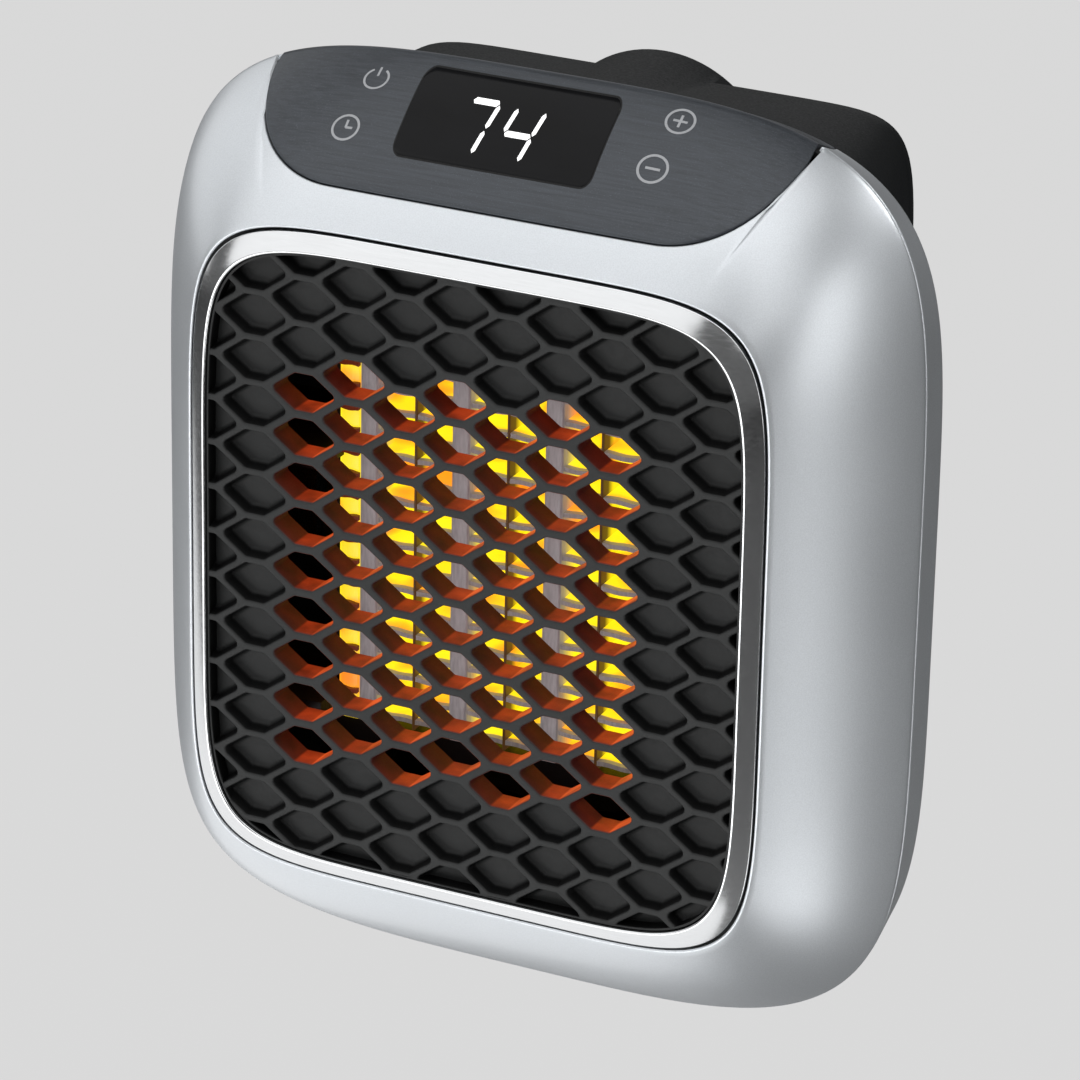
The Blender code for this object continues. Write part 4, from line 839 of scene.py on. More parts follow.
@dataclass(frozen=True)
class PaintedGlowWall(Finish):
    """Open cell walls of the grille, with a painted warm glow standing in for the heater core's light on
    them.
    """

    strength: float = 1.0
    painted_glow_by_side: Tuple[Tuple[float, COLOUR], ...] = (
        (0.0, (0.020, 0.0015, 0.0008)),
        (0.18, (0.060, 0.005, 0.0015)),
        (0.5, (0.22, 0.022, 0.004)),
        (0.85, (0.48, 0.062, 0.012)),
        (1.0, (0.50, 0.075, 0.015)),
    )

    def nodes(self) -> NodeSheet:
        """Return black plastic nodes with a painted warm glow that changes with the wall's facing and dies
        out in front, over painted shade in the base colour.
        """
        sheet = self.sheet(Specular_IOR_Level=0.3, Emission_Strength=self.strength)
        # Painted glow: brightest on walls that face left, dimmest on walls that face right
        side = sheet.between(sheet.split("Normal").outputs["X"], 0.75, -0.75, 0.0, 1.0)
        warm = sheet.ramp(side, self.painted_glow_by_side)
        dim = sheet.ramp(sheet.noise(230.0), [(0.3, (0.45, 0.45, 0.45)), (0.7, (1.15, 1.10, 1.05))])
        lift = sheet.lift()
        whole = sheet.ramp(lift, [(0.0, (1.0, 1.0, 1.0)), (0.55, (0.25, 0.25, 0.25)), (1.0, (0.0, 0.0, 0.0))])
        sheet.to(sheet.mix(sheet.mix(warm, dim), whole), "Emission Color")
        # Painted shade: the wall's base colour darkens from the face down into the cell
        sheet.to(sheet.ramp(lift, [(0.0, (0.004, 0.003, 0.003)), (1.0, (0.030, 0.031, 0.031))]), "Base Color")
        grain = sheet.noise(3000.0)
        sheet.gloss(grain, 0.50, 0.62)
        sheet.bump(grain, 0.2, 0.00003)
        return sheet


@dataclass(frozen=True)
class BrushedMetal(Finish):
    """Metal with fine lines along one axis and slightly cloudy gloss."""

    colour: COLOUR = (0.6, 0.6, 0.6)
    roughness: float = 0.25
    stretch: TRIPLE = (200.0, 2400.0, 2400.0)
    contrast: float = 0.08

    def nodes(self) -> NodeSheet:
        """Return metal nodes: lines in colour, gloss and height."""
        sheet = self.sheet(Metallic=1.0)
        lines = sheet.noise(1.0, detail=3.0, roughness=0.6, stretch=self.stretch)
        sheet.to(sheet.shades(lines, self.colour, 1 - self.contrast, 1 + self.contrast), "Base Color")
        sheet.gloss(lines, self.roughness * 0.8, self.roughness * 1.3)
        sheet.bump(lines, 0.25, 0.00002)
        return sheet


@dataclass(frozen=True)
class HotMetal(Finish):
    """Core metal with a painted grey glow on its front edge, standing in for the core's light on it, and a
    glow from yellow to orange behind it.
    """

    colour: COLOUR = (0.26, 0.24, 0.24)
    front_painted_light: COLOUR = (0.10, 0.09, 0.085)
    front: float = 0.0
    grey_depth: float = 0.0010
    glow_depth: float = 0.0013
    strength: float = 1.0
    glow: Tuple[Tuple[float, COLOUR], ...] = (
        (0.32, (1.0, 0.26, 0.01)),
        (0.42, (1.0, 0.44, 0.01)),
        (0.50, (1.0, 0.72, 0.005)),
        (0.75, (1.0, 0.80, 0.01)),
    )

    def nodes(self) -> NodeSheet:
        """Return metal nodes with painted light on the front edge and a glow that starts behind it."""
        sheet = self.sheet(Metallic=0.35, Emission_Strength=self.strength)
        brushed = sheet.noise(1.0, detail=3.0, stretch=(2400.0, 2400.0, 400.0))
        sheet.to(sheet.shades(brushed, self.colour, 0.85, 1.15), "Base Color")
        sheet.gloss(brushed, 0.38, 0.52)
        sheet.bump(brushed, 0.2, 0.00002)
        start = at_depth(self.front)
        depth = sheet.split("Object").outputs["Y"]
        behind = sheet.between(depth, start + self.grey_depth, start + self.glow_depth, 0.0, 1.0)
        hues = sheet.ramp(sheet.noise(110.0, detail=1.0), self.glow)
        # Painted light on the front edge, standing in for the glow's light falling on it
        edge = sheet.shades(brushed, self.front_painted_light, 0.8, 1.2)
        sheet.to(sheet.mix(edge, hues, behind), "Emission Color")
        return sheet


@dataclass(frozen=True)
class GlossPane(Finish):
    """Deep black glossy window with the faintest smears in its gloss."""

    colour: COLOUR = (0.003, 0.003, 0.0035)

    def nodes(self) -> NodeSheet:
        """Return gloss nodes: smears in the gloss, a slow change in the black."""
        sheet = self.sheet(Specular_IOR_Level=0.12)
        smears = sheet.noise(70.0, detail=4.0, stretch=(1.0, 1.0, 2.5))
        sheet.gloss(smears, 0.10, 0.17)
        sheet.to(sheet.shades(smears, self.colour, 1.0, 1.8), "Base Color")
        return sheet


@dataclass(frozen=True)
class LitSegment(Finish):
    """Light from a display segment, a little uneven along it."""

    colour: COLOUR = (1.0, 1.0, 1.0)
    strength: float = 1.0

    def nodes(self) -> NodeSheet:
        """Return glowing nodes with a soft change along the segment."""
        sheet = self.sheet(Roughness=0.3, Base_Color=(0.6, 0.6, 0.6), Emission_Strength=self.strength)
        uneven = sheet.noise(500.0, detail=1.0)
        sheet.to(sheet.shades(uneven, self.colour, 0.86, 1.0, 0.2, 0.6), "Emission Color")
        return sheet


@dataclass(frozen=True)
class PrintedInk(Finish):
    """Pad-printed ink with slightly broken cover."""

    colour: COLOUR = (0.5, 0.5, 0.52)

    def nodes(self) -> NodeSheet:
        """Return ink nodes: small thin spots in the colour, uneven gloss."""
        sheet = self.sheet()
        cover = sheet.noise(5200.0)
        sheet.to(sheet.shades(cover, self.colour, 0.55, 1.0, 0.22, 0.42), "Base Color")
        sheet.gloss(cover, 0.45, 0.6)
        return sheet


@dataclass(frozen=True)
class CircuitBoard(Finish):
    """Board lacquer over copper tracks."""

    colour: COLOUR = (0.015, 0.10, 0.04)
    track: COLOUR = (0.05, 0.20, 0.07)

    def nodes(self) -> NodeSheet:
        """Return board nodes: square tracks in colour and height under a glossy lacquer."""
        sheet = self.sheet(Coat_Weight=0.5, Coat_Roughness=0.12, Roughness=0.4)
        cells = sheet.add("ShaderNodeTexVoronoi", distance="CHEBYCHEV", feature="F1")
        cells.inputs["Scale"].default_value = 420.0
        sheet.link(sheet.stretched((1.0, 1.0, 1.0)), cells.inputs["Vector"])
        tracks = sheet.between(cells.outputs["Distance"], 0.30, 0.36, 0.0, 1.0)
        sheet.to(sheet.ramp(tracks, [(0.0, self.colour), (1.0, self.track)]), "Base Color")
        sheet.bump(tracks, 0.4, 0.00004)
        return sheet


class Looks:
    """The finishes of this heater, by the part of it that wears them."""

    SILVER = SprayedPaint("silver_paint", colour=(0.685, 0.715, 0.745), roughness=0.42)
    CHARCOAL = BrushedLacquer("charcoal_panel", colour=(0.046, 0.052, 0.061))
    GLOSS = GlossPane("display_gloss")
    DIGIT = LitSegment("display_digit", colour=(1.0, 1.0, 1.0), strength=1.1)
    INK = PrintedInk("icon_ink", colour=(0.42, 0.43, 0.45))
    CHROME = BrushedMetal("satin_chrome", colour=(0.72, 0.73, 0.74), roughness=0.16, contrast=0.03)
    SEAM = MouldedPlastic("dark_seam", colour=(0.004, 0.004, 0.004), roughness=0.7)
    LATTICE = LatticePlastic("grille_plastic")
    # Painted glow on the open cells' walls, standing in for the core's light
    PAINTED_GLOW = PaintedGlowWall("painted_glow_cell_wall", strength=1.4)
    # The core's front edges carry painted light; the glow behind them is the core's own
    BAR = HotMetal(
        "bar_aluminium",
        colour=(0.26, 0.25, 0.26),
        front_painted_light=(0.125, 0.118, 0.122),
        front=0.0144,
        grey_depth=0.0015,
        glow_depth=0.0060,
    )
    HOT_FIN = HotMetal("hot_fin", front=0.0150)
    HOT_PLATE = HotMetal("hot_plate", front=0.0120)
    HOT_EDGE = HotMetal("hot_edge", colour=(0.06, 0.02, 0.01), front_painted_light=(0.09, 0.012, 0.003), front=0.0145)
    HOT_DIVIDER = HotMetal(
        "hot_divider",
        colour=(0.05, 0.035, 0.025),
        front_painted_light=(0.05, 0.022, 0.006),
        front=0.0148,
        grey_depth=0.0020,
        glow_depth=0.0040,
    )
    FRAME = MouldedPlastic("frame_black", colour=(0.006, 0.006, 0.006), roughness=0.6)
    HOUSING = MouldedPlastic("housing_black", colour=(0.0034, 0.0042, 0.0048), specular=0.18)
    TURRET = MouldedPlastic("turret_black", roughness=0.40, grain_depth=0.00003)
    SWITCH = MouldedPlastic("switch_black", roughness=0.28, grain_depth=0.00002)
    IMPELLER = MouldedPlastic("impeller_grey", colour=(0.05, 0.052, 0.055), roughness=0.45)
    RETAINER = MouldedPlastic("retainer_grey", colour=(0.20, 0.20, 0.21))
    CARRIER = MouldedPlastic("carrier_white", colour=(0.62, 0.61, 0.58))
    MODULE = MouldedPlastic("module_black", colour=(0.015, 0.015, 0.016), roughness=0.4)
    RELAY = MouldedPlastic("relay_blue", colour=(0.02, 0.08, 0.30), roughness=0.35)
    ALONG = (2400.0, 200.0, 2400.0)
    NICKEL = BrushedMetal("blade_nickel", colour=(0.62, 0.60, 0.56), roughness=0.22, stretch=ALONG)
    BRASS = BrushedMetal("contact_brass", colour=(0.70, 0.50, 0.20), roughness=0.3)
    STEEL = BrushedMetal("plain_steel", colour=(0.42, 0.42, 0.44), roughness=0.32)
    DARK_STEEL = BrushedMetal("screw_steel", colour=(0.16, 0.16, 0.17), roughness=0.35)
    CAN = BrushedMetal("capacitor_can", colour=(0.50, 0.51, 0.53), roughness=0.3, stretch=ALONG)
    BOARD = CircuitBoard("board_green")


def stand_in(piece: PIECE, finish: Finish, node: str) -> None:
    """Dress a piece and let it stand for a CAD node."""
    finish.dress(piece)
    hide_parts(node)


# Sub-assemblies


@dataclass(frozen=True)
class PanelOutline:
    """Front view of the control panel: a straight bottom, long round corners and the casing's top."""

    casing: Casing
    half_width: float = 0.0470
    height: float = 0.0172
    corner_width: float = 0.0190
    corner_height: float = 0.0150

    def bottom(self, x: float, margin: float = 0.0) -> float:
        """Return the panel's lower edge over x, grown by a margin."""
        low = self.casing.top_z() - self.height
        corner_x = self.half_width - self.corner_width
        corner_z = low + self.corner_height
        if abs(x) <= corner_x:
            return low - margin
        share = min(1.0, (abs(x) - corner_x) / (self.half_width + margin - corner_x))
        return corner_z - (corner_z - low + margin) * math.sqrt(max(0.0, 1 - share * share))

    def covers(self, point: Vector, margin: float = 0.0) -> bool:
        """Say whether the panel, grown by a margin, covers a point in front view."""
        if point.z < self.casing.ring_z or abs(point.x) >= self.half_width + margin:
            return False
        return point.z > self.bottom(point.x, margin)

    def side_reach(self, place: float) -> float:
        """Return how far the panel reaches to the side at a place along the skin."""
        section = self.casing.section(place)
        inner = self.half_width - self.corner_width
        return first_true(inner, self.half_width, lambda x: section.top(x).z <= self.bottom(x))


@dataclass
class SilverShells:
    """The crowned front casing and the band behind the parting line."""

    casing: Casing
    outline: PanelOutline
    columns: int = 520
    crown_rows: int = 26
    band_rows: int = 14
    search_steps: int = 60
    edge_radius: float = 0.00035
    sheet_thickness: float = 0.0016
    well_depth: float = 0.0043
    lining_front: float = 0.0012
    lining_back: float = 0.0014
    lining_thickness: float = 0.0008

    def crown_end(self, angle: float) -> float:
        """Return where a column of the crown ends: at the parting line or at the panel's edge."""

        def covered(place: float) -> bool:
            """Say whether the panel covers the crown at a place."""
            return self.outline.covers(self.casing.section(place).point(angle), HAIR)

        steps = self.search_steps
        first = next((step for step in range(steps + 1) if covered(step / steps)), None)
        return 1.0 if first is None else first_true(max(0, first - 1) / steps, first / steps, covered)

    def build_front(self) -> None:
        """Build and dress the crowned front casing."""
        angles = crowded_angles(self.columns)
        ends = [self.crown_end(angle) for angle in angles]
        grid = [
            [self.casing.around(angle, end * row / self.crown_rows) for angle, end in zip(angles, ends)]
            for row in range(self.crown_rows + 1)
        ]
        well = Vector((0, self.well_depth, 0))
        sheet = Sheet(grid, True, self.edge_radius, self.sheet_thickness, inner_wall=well)
        shell = sheet.build("front_casing", "heater")
        stand_in(shell, Looks.SILVER, "front_shell")

    def build_band(self) -> None:
        """Build and dress the band behind the parting line."""
        columns = self.columns * 4 // 5
        start = 1 + HAIR / self.casing.band_length
        grid = []
        for row in range(self.band_rows + 1):
            place = start + (3 - start) * row / self.band_rows
            first = self.casing.section(place).angle_at(self.outline.side_reach(place) + HAIR)
            last = -math.pi - first
            spread = [first + (last - first) * column / columns for column in range(columns + 1)]
            grid.append([self.casing.around(angle, place) for angle in spread])
        band = Sheet(grid, False, self.edge_radius, self.sheet_thickness).build("rear_band", "heater")
        stand_in(band, Looks.SILVER, "rear_shell")

    def build_lining(self) -> None:
        """Build the dark strip that shows in the parting gap."""
        front = self.casing.crown_depth - self.lining_front
        back = self.casing.crown_depth + self.lining_back
        outside, inside = 5 * HAIR, 5 * HAIR + self.lining_thickness
        corners = ((outside, front), (outside, back), (inside, back), (inside, front))
        rows = [self.casing.body(inset, depth).row(self.columns) for inset, depth in corners]
        lining = object_from("parting_lining", *skin_rows(rows, closed=True), "heater")
        Looks.SEAM.dress(lining)


class Numeral(Enum):
    """The lit numbers, by the segments that make them."""

    SEVEN = "abc"
    FOUR = "bcfg"


@dataclass
class ControlTop:
    """The charcoal panel, its display window, the lit digits and the printed icons."""

    casing: Casing
    outline: PanelOutline
    columns: int = 120
    rows: Tuple[int, int, int] = (30, 4, 9)
    edge_radius: float = 0.00030
    thickness: float = 0.0014
    window_half_width: float = 0.0170
    window_half_height: float = 0.0053
    window_x: float = -0.0020
    window_z: float = 0.0238
    window_corner: float = 0.0016
    window_proud: float = 0.00006
    window_edge: float = 0.00006
    window_thickness: float = 0.0009
    window_spans: Tuple[int, int] = (56, 14)
    seam_width: float = 0.00022
    seam_edge: float = 0.00003
    seam_thickness: float = 0.0008
    digit_z: float = 0.0232
    digit_thickness: float = 0.00005
    digits: Tuple[Tuple[Numeral, float], ...] = ((Numeral.SEVEN, -0.0075), (Numeral.FOUR, 0.0005))
    print_proud: float = 0.00004
    stroke_share: float = 0.18

    def build_panel(self) -> None:
        """Build and dress the panel over the casing's top."""
        reach = self.outline.side_reach(1.5)
        columns = []
        for index in range(self.columns + 1):
            x = reach * math.sin(math.pi / 2 * (2 * index / self.columns - 1))
            start = self.crossing(x, 0.0, 1.0)
            end = self.crossing(x, 3.0, 2.0)
            places = [start + (1 - start) * row / self.rows[0] for row in range(self.rows[0])]
            places += [1 + row / self.rows[1] for row in range(self.rows[1])]
            places += [2 + (end - 2) * row / self.rows[2] for row in range(self.rows[2] + 1)]
            columns.append([self.casing.over(x, place) for place in places])
        grid = [list(row) for row in zip(*columns)]
        panel = Sheet(grid, False, self.edge_radius, self.thickness).build("top_panel", "heater")
        stand_in(panel, Looks.CHARCOAL, "control_panel")

    def crossing(self, x: float, outside: float, inside: float) -> float:
        """Return the place between two where the skin over x meets the panel's lower edge."""

        def covered(place: float) -> bool:
            """Say whether the skin at a place lies inside the panel."""
            return self.casing.section(place).top(x).z > self.outline.bottom(x)

        return outside if covered(outside) else first_true(outside, inside, covered)

    def window_grid(self, margin: float, proud: float) -> GRID:
        """Return a grid of points over the display window, grown and raised.

        Args:
            margin: How far it grows all round.
            proud: How far it stands over the panel's skin.

        Returns:
            Rows of points with their normals.
        """
        half_width, half_height = self.window_half_width + margin, self.window_half_height + margin
        corner = self.window_corner + margin
        columns, rows = self.window_spans
        grid = []
        for row in range(rows + 1):
            line = []
            for column in range(columns + 1):
                across = math.sin(math.pi / 2 * (2 * column / columns - 1))
                over = max(0.0, abs(half_width * across) - (half_width - corner))
                cut = corner - math.sqrt(max(0.0, corner * corner - over * over))
                x = self.window_x + half_width * across
                z = self.window_z + (half_height - cut) * (2 * row / rows - 1)
                point, normal = self.casing.over(x, self.casing.place_of(x, z))
                line.append((point + normal * proud, normal))
            grid.append(line)
        return grid

    def build_window(self) -> None:
        """Build and dress the glossy window and the dark seam round it."""
        seam_grid = self.window_grid(self.seam_width, self.window_proud / 3)
        seam = Sheet(seam_grid, False, self.seam_edge, self.seam_thickness).build("display_seam", "heater")
        Looks.SEAM.dress(seam)
        pane_grid = self.window_grid(0, self.window_proud)
        window = Sheet(pane_grid, False, self.window_edge, self.window_thickness)
        pane = window.build("display_pane", "heater")
        stand_in(pane, Looks.GLOSS, "display_window")

    def on_skin(self, x: float, place: float, proud: float) -> Vector:
        """Return a point raised over the skin at x and a place along it."""
        point, normal = self.casing.over(x, place)
        return point + normal * proud

    def build_digits(self) -> None:
        """Build the two lit seven-segment digits."""
        points: List[Vector] = []
        faces: FACES = []
        top = self.window_proud + self.digit_thickness
        for numeral, middle in self.digits:
            digit = SevenSegment(middle, self.digit_z)
            for letter in numeral.value:
                outline = digit.segment(letter)
                start, count = len(points), len(outline)
                for proud in (top, self.window_proud):
                    points += [self.on_skin(x, self.casing.place_of(x, z), proud) for x, z in outline]
                near, far = range(start, start + count), range(start + count, start + 2 * count)
                faces += [list(near), list(reversed(far))] + loop_faces(near, far)
        digits = object_from("display_digits", points, faces, "heater")
        Looks.DIGIT.dress(digits)

    def build_icons(self) -> None:
        """Build the four printed icons: power, timer, plus and minus."""
        icons = (
            (Icon.POWER, -0.0267, 0.0267, 0.0020),
            (Icon.TIMER, -0.0282, 0.0206, 0.0022),
            (Icon.PLUS, 0.0252, 0.0277, 0.0023),
            (Icon.MINUS, 0.0241, 0.0221, 0.0024),
        )
        step = 0.01
        points: List[Vector] = []
        faces: FACES = []
        for icon, x, z, radius in icons:
            centre = self.casing.place_of(x, z)
            length = (self.on_skin(x, centre + step, 0.0) - self.on_skin(x, centre - step, 0.0)).length
            rate = 2 * step / length
            for line in icon.strokes(radius):
                faces += strip_faces(len(points), len(line) - 1)
                for sides in ribbon(line, radius * self.stroke_share):
                    for proud in (self.print_proud, 0.0):
                        points += [self.on_skin(x + px, centre + pz * rate, proud) for px, pz in sides]
        piece = object_from("touch_icons", points, faces, "heater")
        Looks.INK.dress(piece)


def ribbon(line: Sequence[PAIR], width: float) -> List[Tuple[PAIR, PAIR]]:
    """Return the left and right points of a stroke of a given width along a line."""
    sides = []
    for index, (x, z) in enumerate(line):
        before = line[max(index - 1, 0)]
        after = line[min(index + 1, len(line) - 1)]
        run, rise = after[0] - before[0], after[1] - before[1]
        length = math.hypot(run, rise) or 1.0
        across = (-rise / length * width / 2, run / length * width / 2)
        sides.append(((x + across[0], z + across[1]), (x - across[0], z - across[1])))
    return sides


def arc(radius: float, start: float, end: float, steps: int = 28) -> List[PAIR]:
    """Return points on a circle between two angles in degrees, measured from the top, clockwise."""
    turns = [math.radians(start + (end - start) * step / steps) for step in range(steps + 1)]
    return [(radius * math.sin(turn), radius * math.cos(turn)) for turn in turns]


class Icon(Enum):
    """The touch icons on the panel."""

    POWER = "power"
    TIMER = "timer"
    PLUS = "plus"
    MINUS = "minus"

    def strokes(self, radius: float) -> List[List[PAIR]]:
        """Return the icon's strokes as lines.

        Args:
            radius: The radius of the icon's circle.

        Returns:
            Lines of points about the icon's centre.
        """
        if self is Icon.POWER:
            return [arc(radius, 32, 328), [(0, radius * 1.15), (0, radius * 0.25)]]
        ring = arc(radius, 0, 360, 40)
        half = radius * 0.52
        if self is Icon.TIMER:
            return [ring, [(0, radius * 0.62), (0, 0), (0, -radius * 0.02)], [(0, 0), (half, 0)]]
        if self is Icon.PLUS:
            return [ring, [(-half, 0), (half, 0)], [(0, -half), (0, half)]]
        return [ring, [(-half, 0), (half, 0)]]


@dataclass(frozen=True)
class SevenSegment:
    """One slanted seven-segment digit in front view."""

    x: float
    z: float
    half_width: float = 0.0024
    half_height: float = 0.0031
    stroke: float = 0.00070
    gap: float = 0.00016
    slant: float = 0.24

    def segment(self, letter: str) -> List[PAIR]:
        """Return the outline of one segment: a on top, b and c at the right, f at the left, g midway."""
        w, h = self.half_width, self.half_height
        ends = {
            "a": ((-w, h), (w, h)),
            "b": ((w, h), (w, 0.0)),
            "c": ((w, 0.0), (w, -h)),
            "f": ((-w, 0.0), (-w, h)),
            "g": ((-w, 0.0), (w, 0.0)),
        }
        (ax, az), (bx, bz) = ends[letter]
        length = math.hypot(bx - ax, bz - az)
        along = ((bx - ax) / length, (bz - az) / length)
        across = (-along[1], along[0])
        half = self.stroke / 2
        near, far = self.gap, length - self.gap
        corners = [(near, 0), (near + half, half), (far - half, half)]
        corners += [(far, 0), (far - half, -half), (near + half, -half)]
        outline = []
        for run, side in corners:
            x = ax + along[0] * run + across[0] * side
            z = az + along[1] * run + across[1] * side
            outline.append((self.x + x + self.slant * z, self.z + z))
        return outline


@dataclass
class TrimRing:
    """The bright ring that frames the grille."""

    casing: Casing
    face_width: float = 0.0030
    rise: float = 0.0019
    back: float = 0.00135
    inner_round: float = 0.0003
    outer_round: float = 0.00022
    columns: int = 288

    def build(self) -> None:
        """Build and dress the ring, its face sloping outwards."""
        profile = soften(
            [(0, 0), (0, self.back), (self.face_width, self.back), (self.face_width, -self.rise)],
            [self.outer_round, 0, 0, self.inner_round],
        )
        rows = [self.casing.ring(inwards, depth).row(self.columns) for inwards, depth in profile]
        ring = object_from("bright_ring", *skin_rows(rows, closed=True), "heater")
        stand_in(ring, Looks.CHROME, "trim_ring")


@dataclass
class Grille:
    """The moulded hexagon lattice: open cells in the middle, blind pockets round them."""

    casing: Casing
    front: float = -0.0010
    thickness: float = 0.0050
    rim_thickness: float = 0.0025
    face_inset: float = 0.00315
    border: float = 0.00028
    cell_half_width: float = 0.0059
    cell_half_flat: float = 0.0016
    cell_half_height: float = 0.0031
    column_pitch: float = 0.0089
    row_pitch: float = 0.0077
    shift_x: float = -0.0026
    shift_z: float = 0.0018
    open_columns: int = 7
    open_rows: int = 9
    reach_columns: int = 8
    reach_rows: int = 10
    pocket_depth: float = 0.0025
    pocket_widening: float = 0.00018
    pocket_draft: float = 0.00030
    floor_round: float = 0.00075
    floor_spans: int = 5
    mouth_round: float = 0.00028
    mouth_spans: int = 3
    painted_glow_spans: int = 2
    corner_radius: float = 0.00075
    least_radius: float = 0.00012
    corner_steps: int = 3
    corner_growth: float = 0.8
    edge_columns: int = 160
    border_columns: int = 224
    border_edge: float = 0.0004
    rim_reach: float = 0.00045
    touch_share: float = 0.97
    cut_reach: float = 2.2

    def outline(self, outset: float) -> List[PAIR]:
        """Return a cell's outline grown by an outset, with round corners."""
        slope = math.hypot(self.cell_half_height, self.cell_half_width - self.cell_half_flat)
        normal_x = self.cell_half_height / slope
        normal_z = (self.cell_half_width - self.cell_half_flat) / slope
        distance = self.cell_half_width * normal_x + outset
        half_height = self.cell_half_height + outset
        half_width = distance / normal_x
        half_flat = (distance - half_height * normal_z) / normal_x
        corners = hexagon(half_width, half_flat, half_height)
        radius = max(self.least_radius, self.corner_radius + outset * self.corner_growth)
        return soften(corners, [radius] * 6, self.corner_steps)

    def tile(self) -> List[PAIR]:
        """Return the hexagon that one cell and its half of the webs fill."""
        half_width = self.column_pitch * 4 / 5
        return hexagon(half_width, self.column_pitch - half_width, self.row_pitch / 2)

    def mouth_rows(self) -> List[TRIPLE]:
        """Return outset, depth and painted light of the rows that roll from a web into a cell."""
        rows = []
        for step in range(self.mouth_spans + 1):
            share = step / self.mouth_spans
            outset = self.mouth_round * (1 - math.sin(math.pi / 2 * share))
            depth = self.mouth_round * (1 - math.cos(math.pi / 2 * share))
            rows.append((outset, depth, 1.0 - 0.9 * share))
        return rows

    def pocket_rows(self) -> List[TRIPLE]:
        """Return the rows of a blind pocket, from its mouth to its floor."""
        wider = self.pocket_widening
        rows = [(outset + wider, depth, lift) for outset, depth, lift in self.mouth_rows()]
        start = self.pocket_depth - self.floor_round
        # The pocket walls are in full painted shade
        for share in (0.5, 1.0):
            depth = self.mouth_round + (start - self.mouth_round) * share
            rows.append((wider - self.pocket_draft * share, depth, 0.0))
        for step in range(1, self.floor_spans + 1):
            share = step / self.floor_spans
            angle = math.pi / 2 * share
            outset = wider - self.pocket_draft - self.floor_round * (1 - math.cos(angle))
            # The floor's painted light grows from painted shade at its wall towards its middle
            rows.append((outset, start + self.floor_round * math.sin(angle), 0.08 + 0.62 * share ** 2))
        return rows

    def open_cell_rows(self) -> List[TRIPLE]:
        """Return the rows of an open cell, from its mouth to the grille's back."""
        back = self.thickness
        # Below their mouths, open cells are in full painted shade
        depths = [(0.0, back / 2, 0.0), (0.0, back - self.mouth_round, 0.0), (self.mouth_round, back, 0.0)]
        return self.mouth_rows() + depths

    def add_cell(self, work: bmesh.types.BMesh, x: float, z: float, is_open: bool) -> None:
        """Add one cell with its half of the webs to a mesh.

        Args:
            work: The mesh.
            x: The cell's centre across.
            z: The cell's centre height.
            is_open: Whether air passes it.
        """
        lift = work.verts.layers.float.get("lift")

        def corner(px: float, pz: float, depth: float, value: float) -> bmesh.types.BMVert:
            """Add one corner with its painted light."""
            vert = work.verts.new((x + px, at_depth(self.front + depth), z + pz))
            vert[lift] = value
            return vert

        rows = self.open_cell_rows() if is_open else self.pocket_rows()
        loops = [
            [corner(px, pz, depth, value) for px, pz in self.outline(outset)] for outset, depth, value in rows
        ]
        per_corner = self.corner_steps + 1

        def web(depth: float, loop: List[bmesh.types.BMVert], value: float) -> None:
            """Add the web faces between the tile's corners and a loop."""
            corners = [corner(px, pz, depth, value) for px, pz in self.tile()]
            count = len(loop)
            for index in range(count):
                after = (index + 1) % count
                near, far = corners[index // per_corner], corners[after // per_corner]
                work.faces.new((near, loop[index], loop[after]) + (() if near is far else (far,)))

        web(0.0, loops[0], 1.0)
        for number, (near, far) in enumerate(zip(loops, loops[1:])):
            for corners in loop_faces(near, far):
                face = work.faces.new(corners)
                # The deeper faces of open cells take the painted glow
                face.material_index = 1 if is_open and number >= self.mouth_spans - self.painted_glow_spans else 0
        if is_open:
            web(self.thickness, loops[-1], 0.0)
        else:
            work.faces.new(loops[-1])
            work.faces.new([corner(px, pz, self.thickness, 0.0) for px, pz in self.tile()])

    def field_reach(self, x: float, z: float) -> float:
        """Return below 1 inside the lattice field, and above 1 outside it."""
        field = self.casing.ring(self.face_inset + self.border, 0)
        n = self.casing.ring_squareness
        return abs(x / field.half_width) ** n + abs((z - field.z) / field.half_height) ** n

    def clip(self, work: bmesh.types.BMesh, x: float, z: float) -> None:
        """Cut a border cell off at the edge of the lattice field."""
        edge = self.casing.ring(self.face_inset + self.border, 0).row(self.edge_columns)
        reach = self.cut_reach * self.cell_half_width
        for near, far in zip(edge, edge[1:] + edge[:1]):
            middle = (near + far) / 2
            if math.hypot(middle.x - x, middle.z - z) > reach:
                continue
            outward = Vector((far.z - near.z, 0, near.x - far.x)).normalized()
            if outward.dot(Vector((middle.x, 0, middle.z - self.casing.ring_z))) < 0:
                outward = -outward
            everything = work.verts[:] + work.edges[:] + work.faces[:]
            bmesh.ops.bisect_plane(
                work, geom=everything, plane_co=(middle.x, 0, middle.z), plane_no=outward, clear_outer=True
            )

    def cells(self) -> List[Tuple[float, float, bool]]:
        """Return the centre of each cell that touches the field, and whether it is open."""
        found = []
        half_columns, half_rows = self.open_columns // 2, self.open_rows // 2
        for column in range(-self.reach_columns, self.reach_columns + 1):
            offset = 0.0 if (column + half_columns) % 2 else -self.row_pitch / 2
            for row in range(-self.reach_rows, self.reach_rows + 1):
                x = self.shift_x + column * self.column_pitch
                z = self.casing.ring_z + self.shift_z + row * self.row_pitch + offset
                is_open = abs(column) <= half_columns and abs(row) <= half_rows
                corners = [(x + self.touch_share * px, z + self.touch_share * pz) for px, pz in self.tile()]
                if any(self.field_reach(*corner) < 1 for corner in corners):
                    found.append((x, z, is_open))
        return found

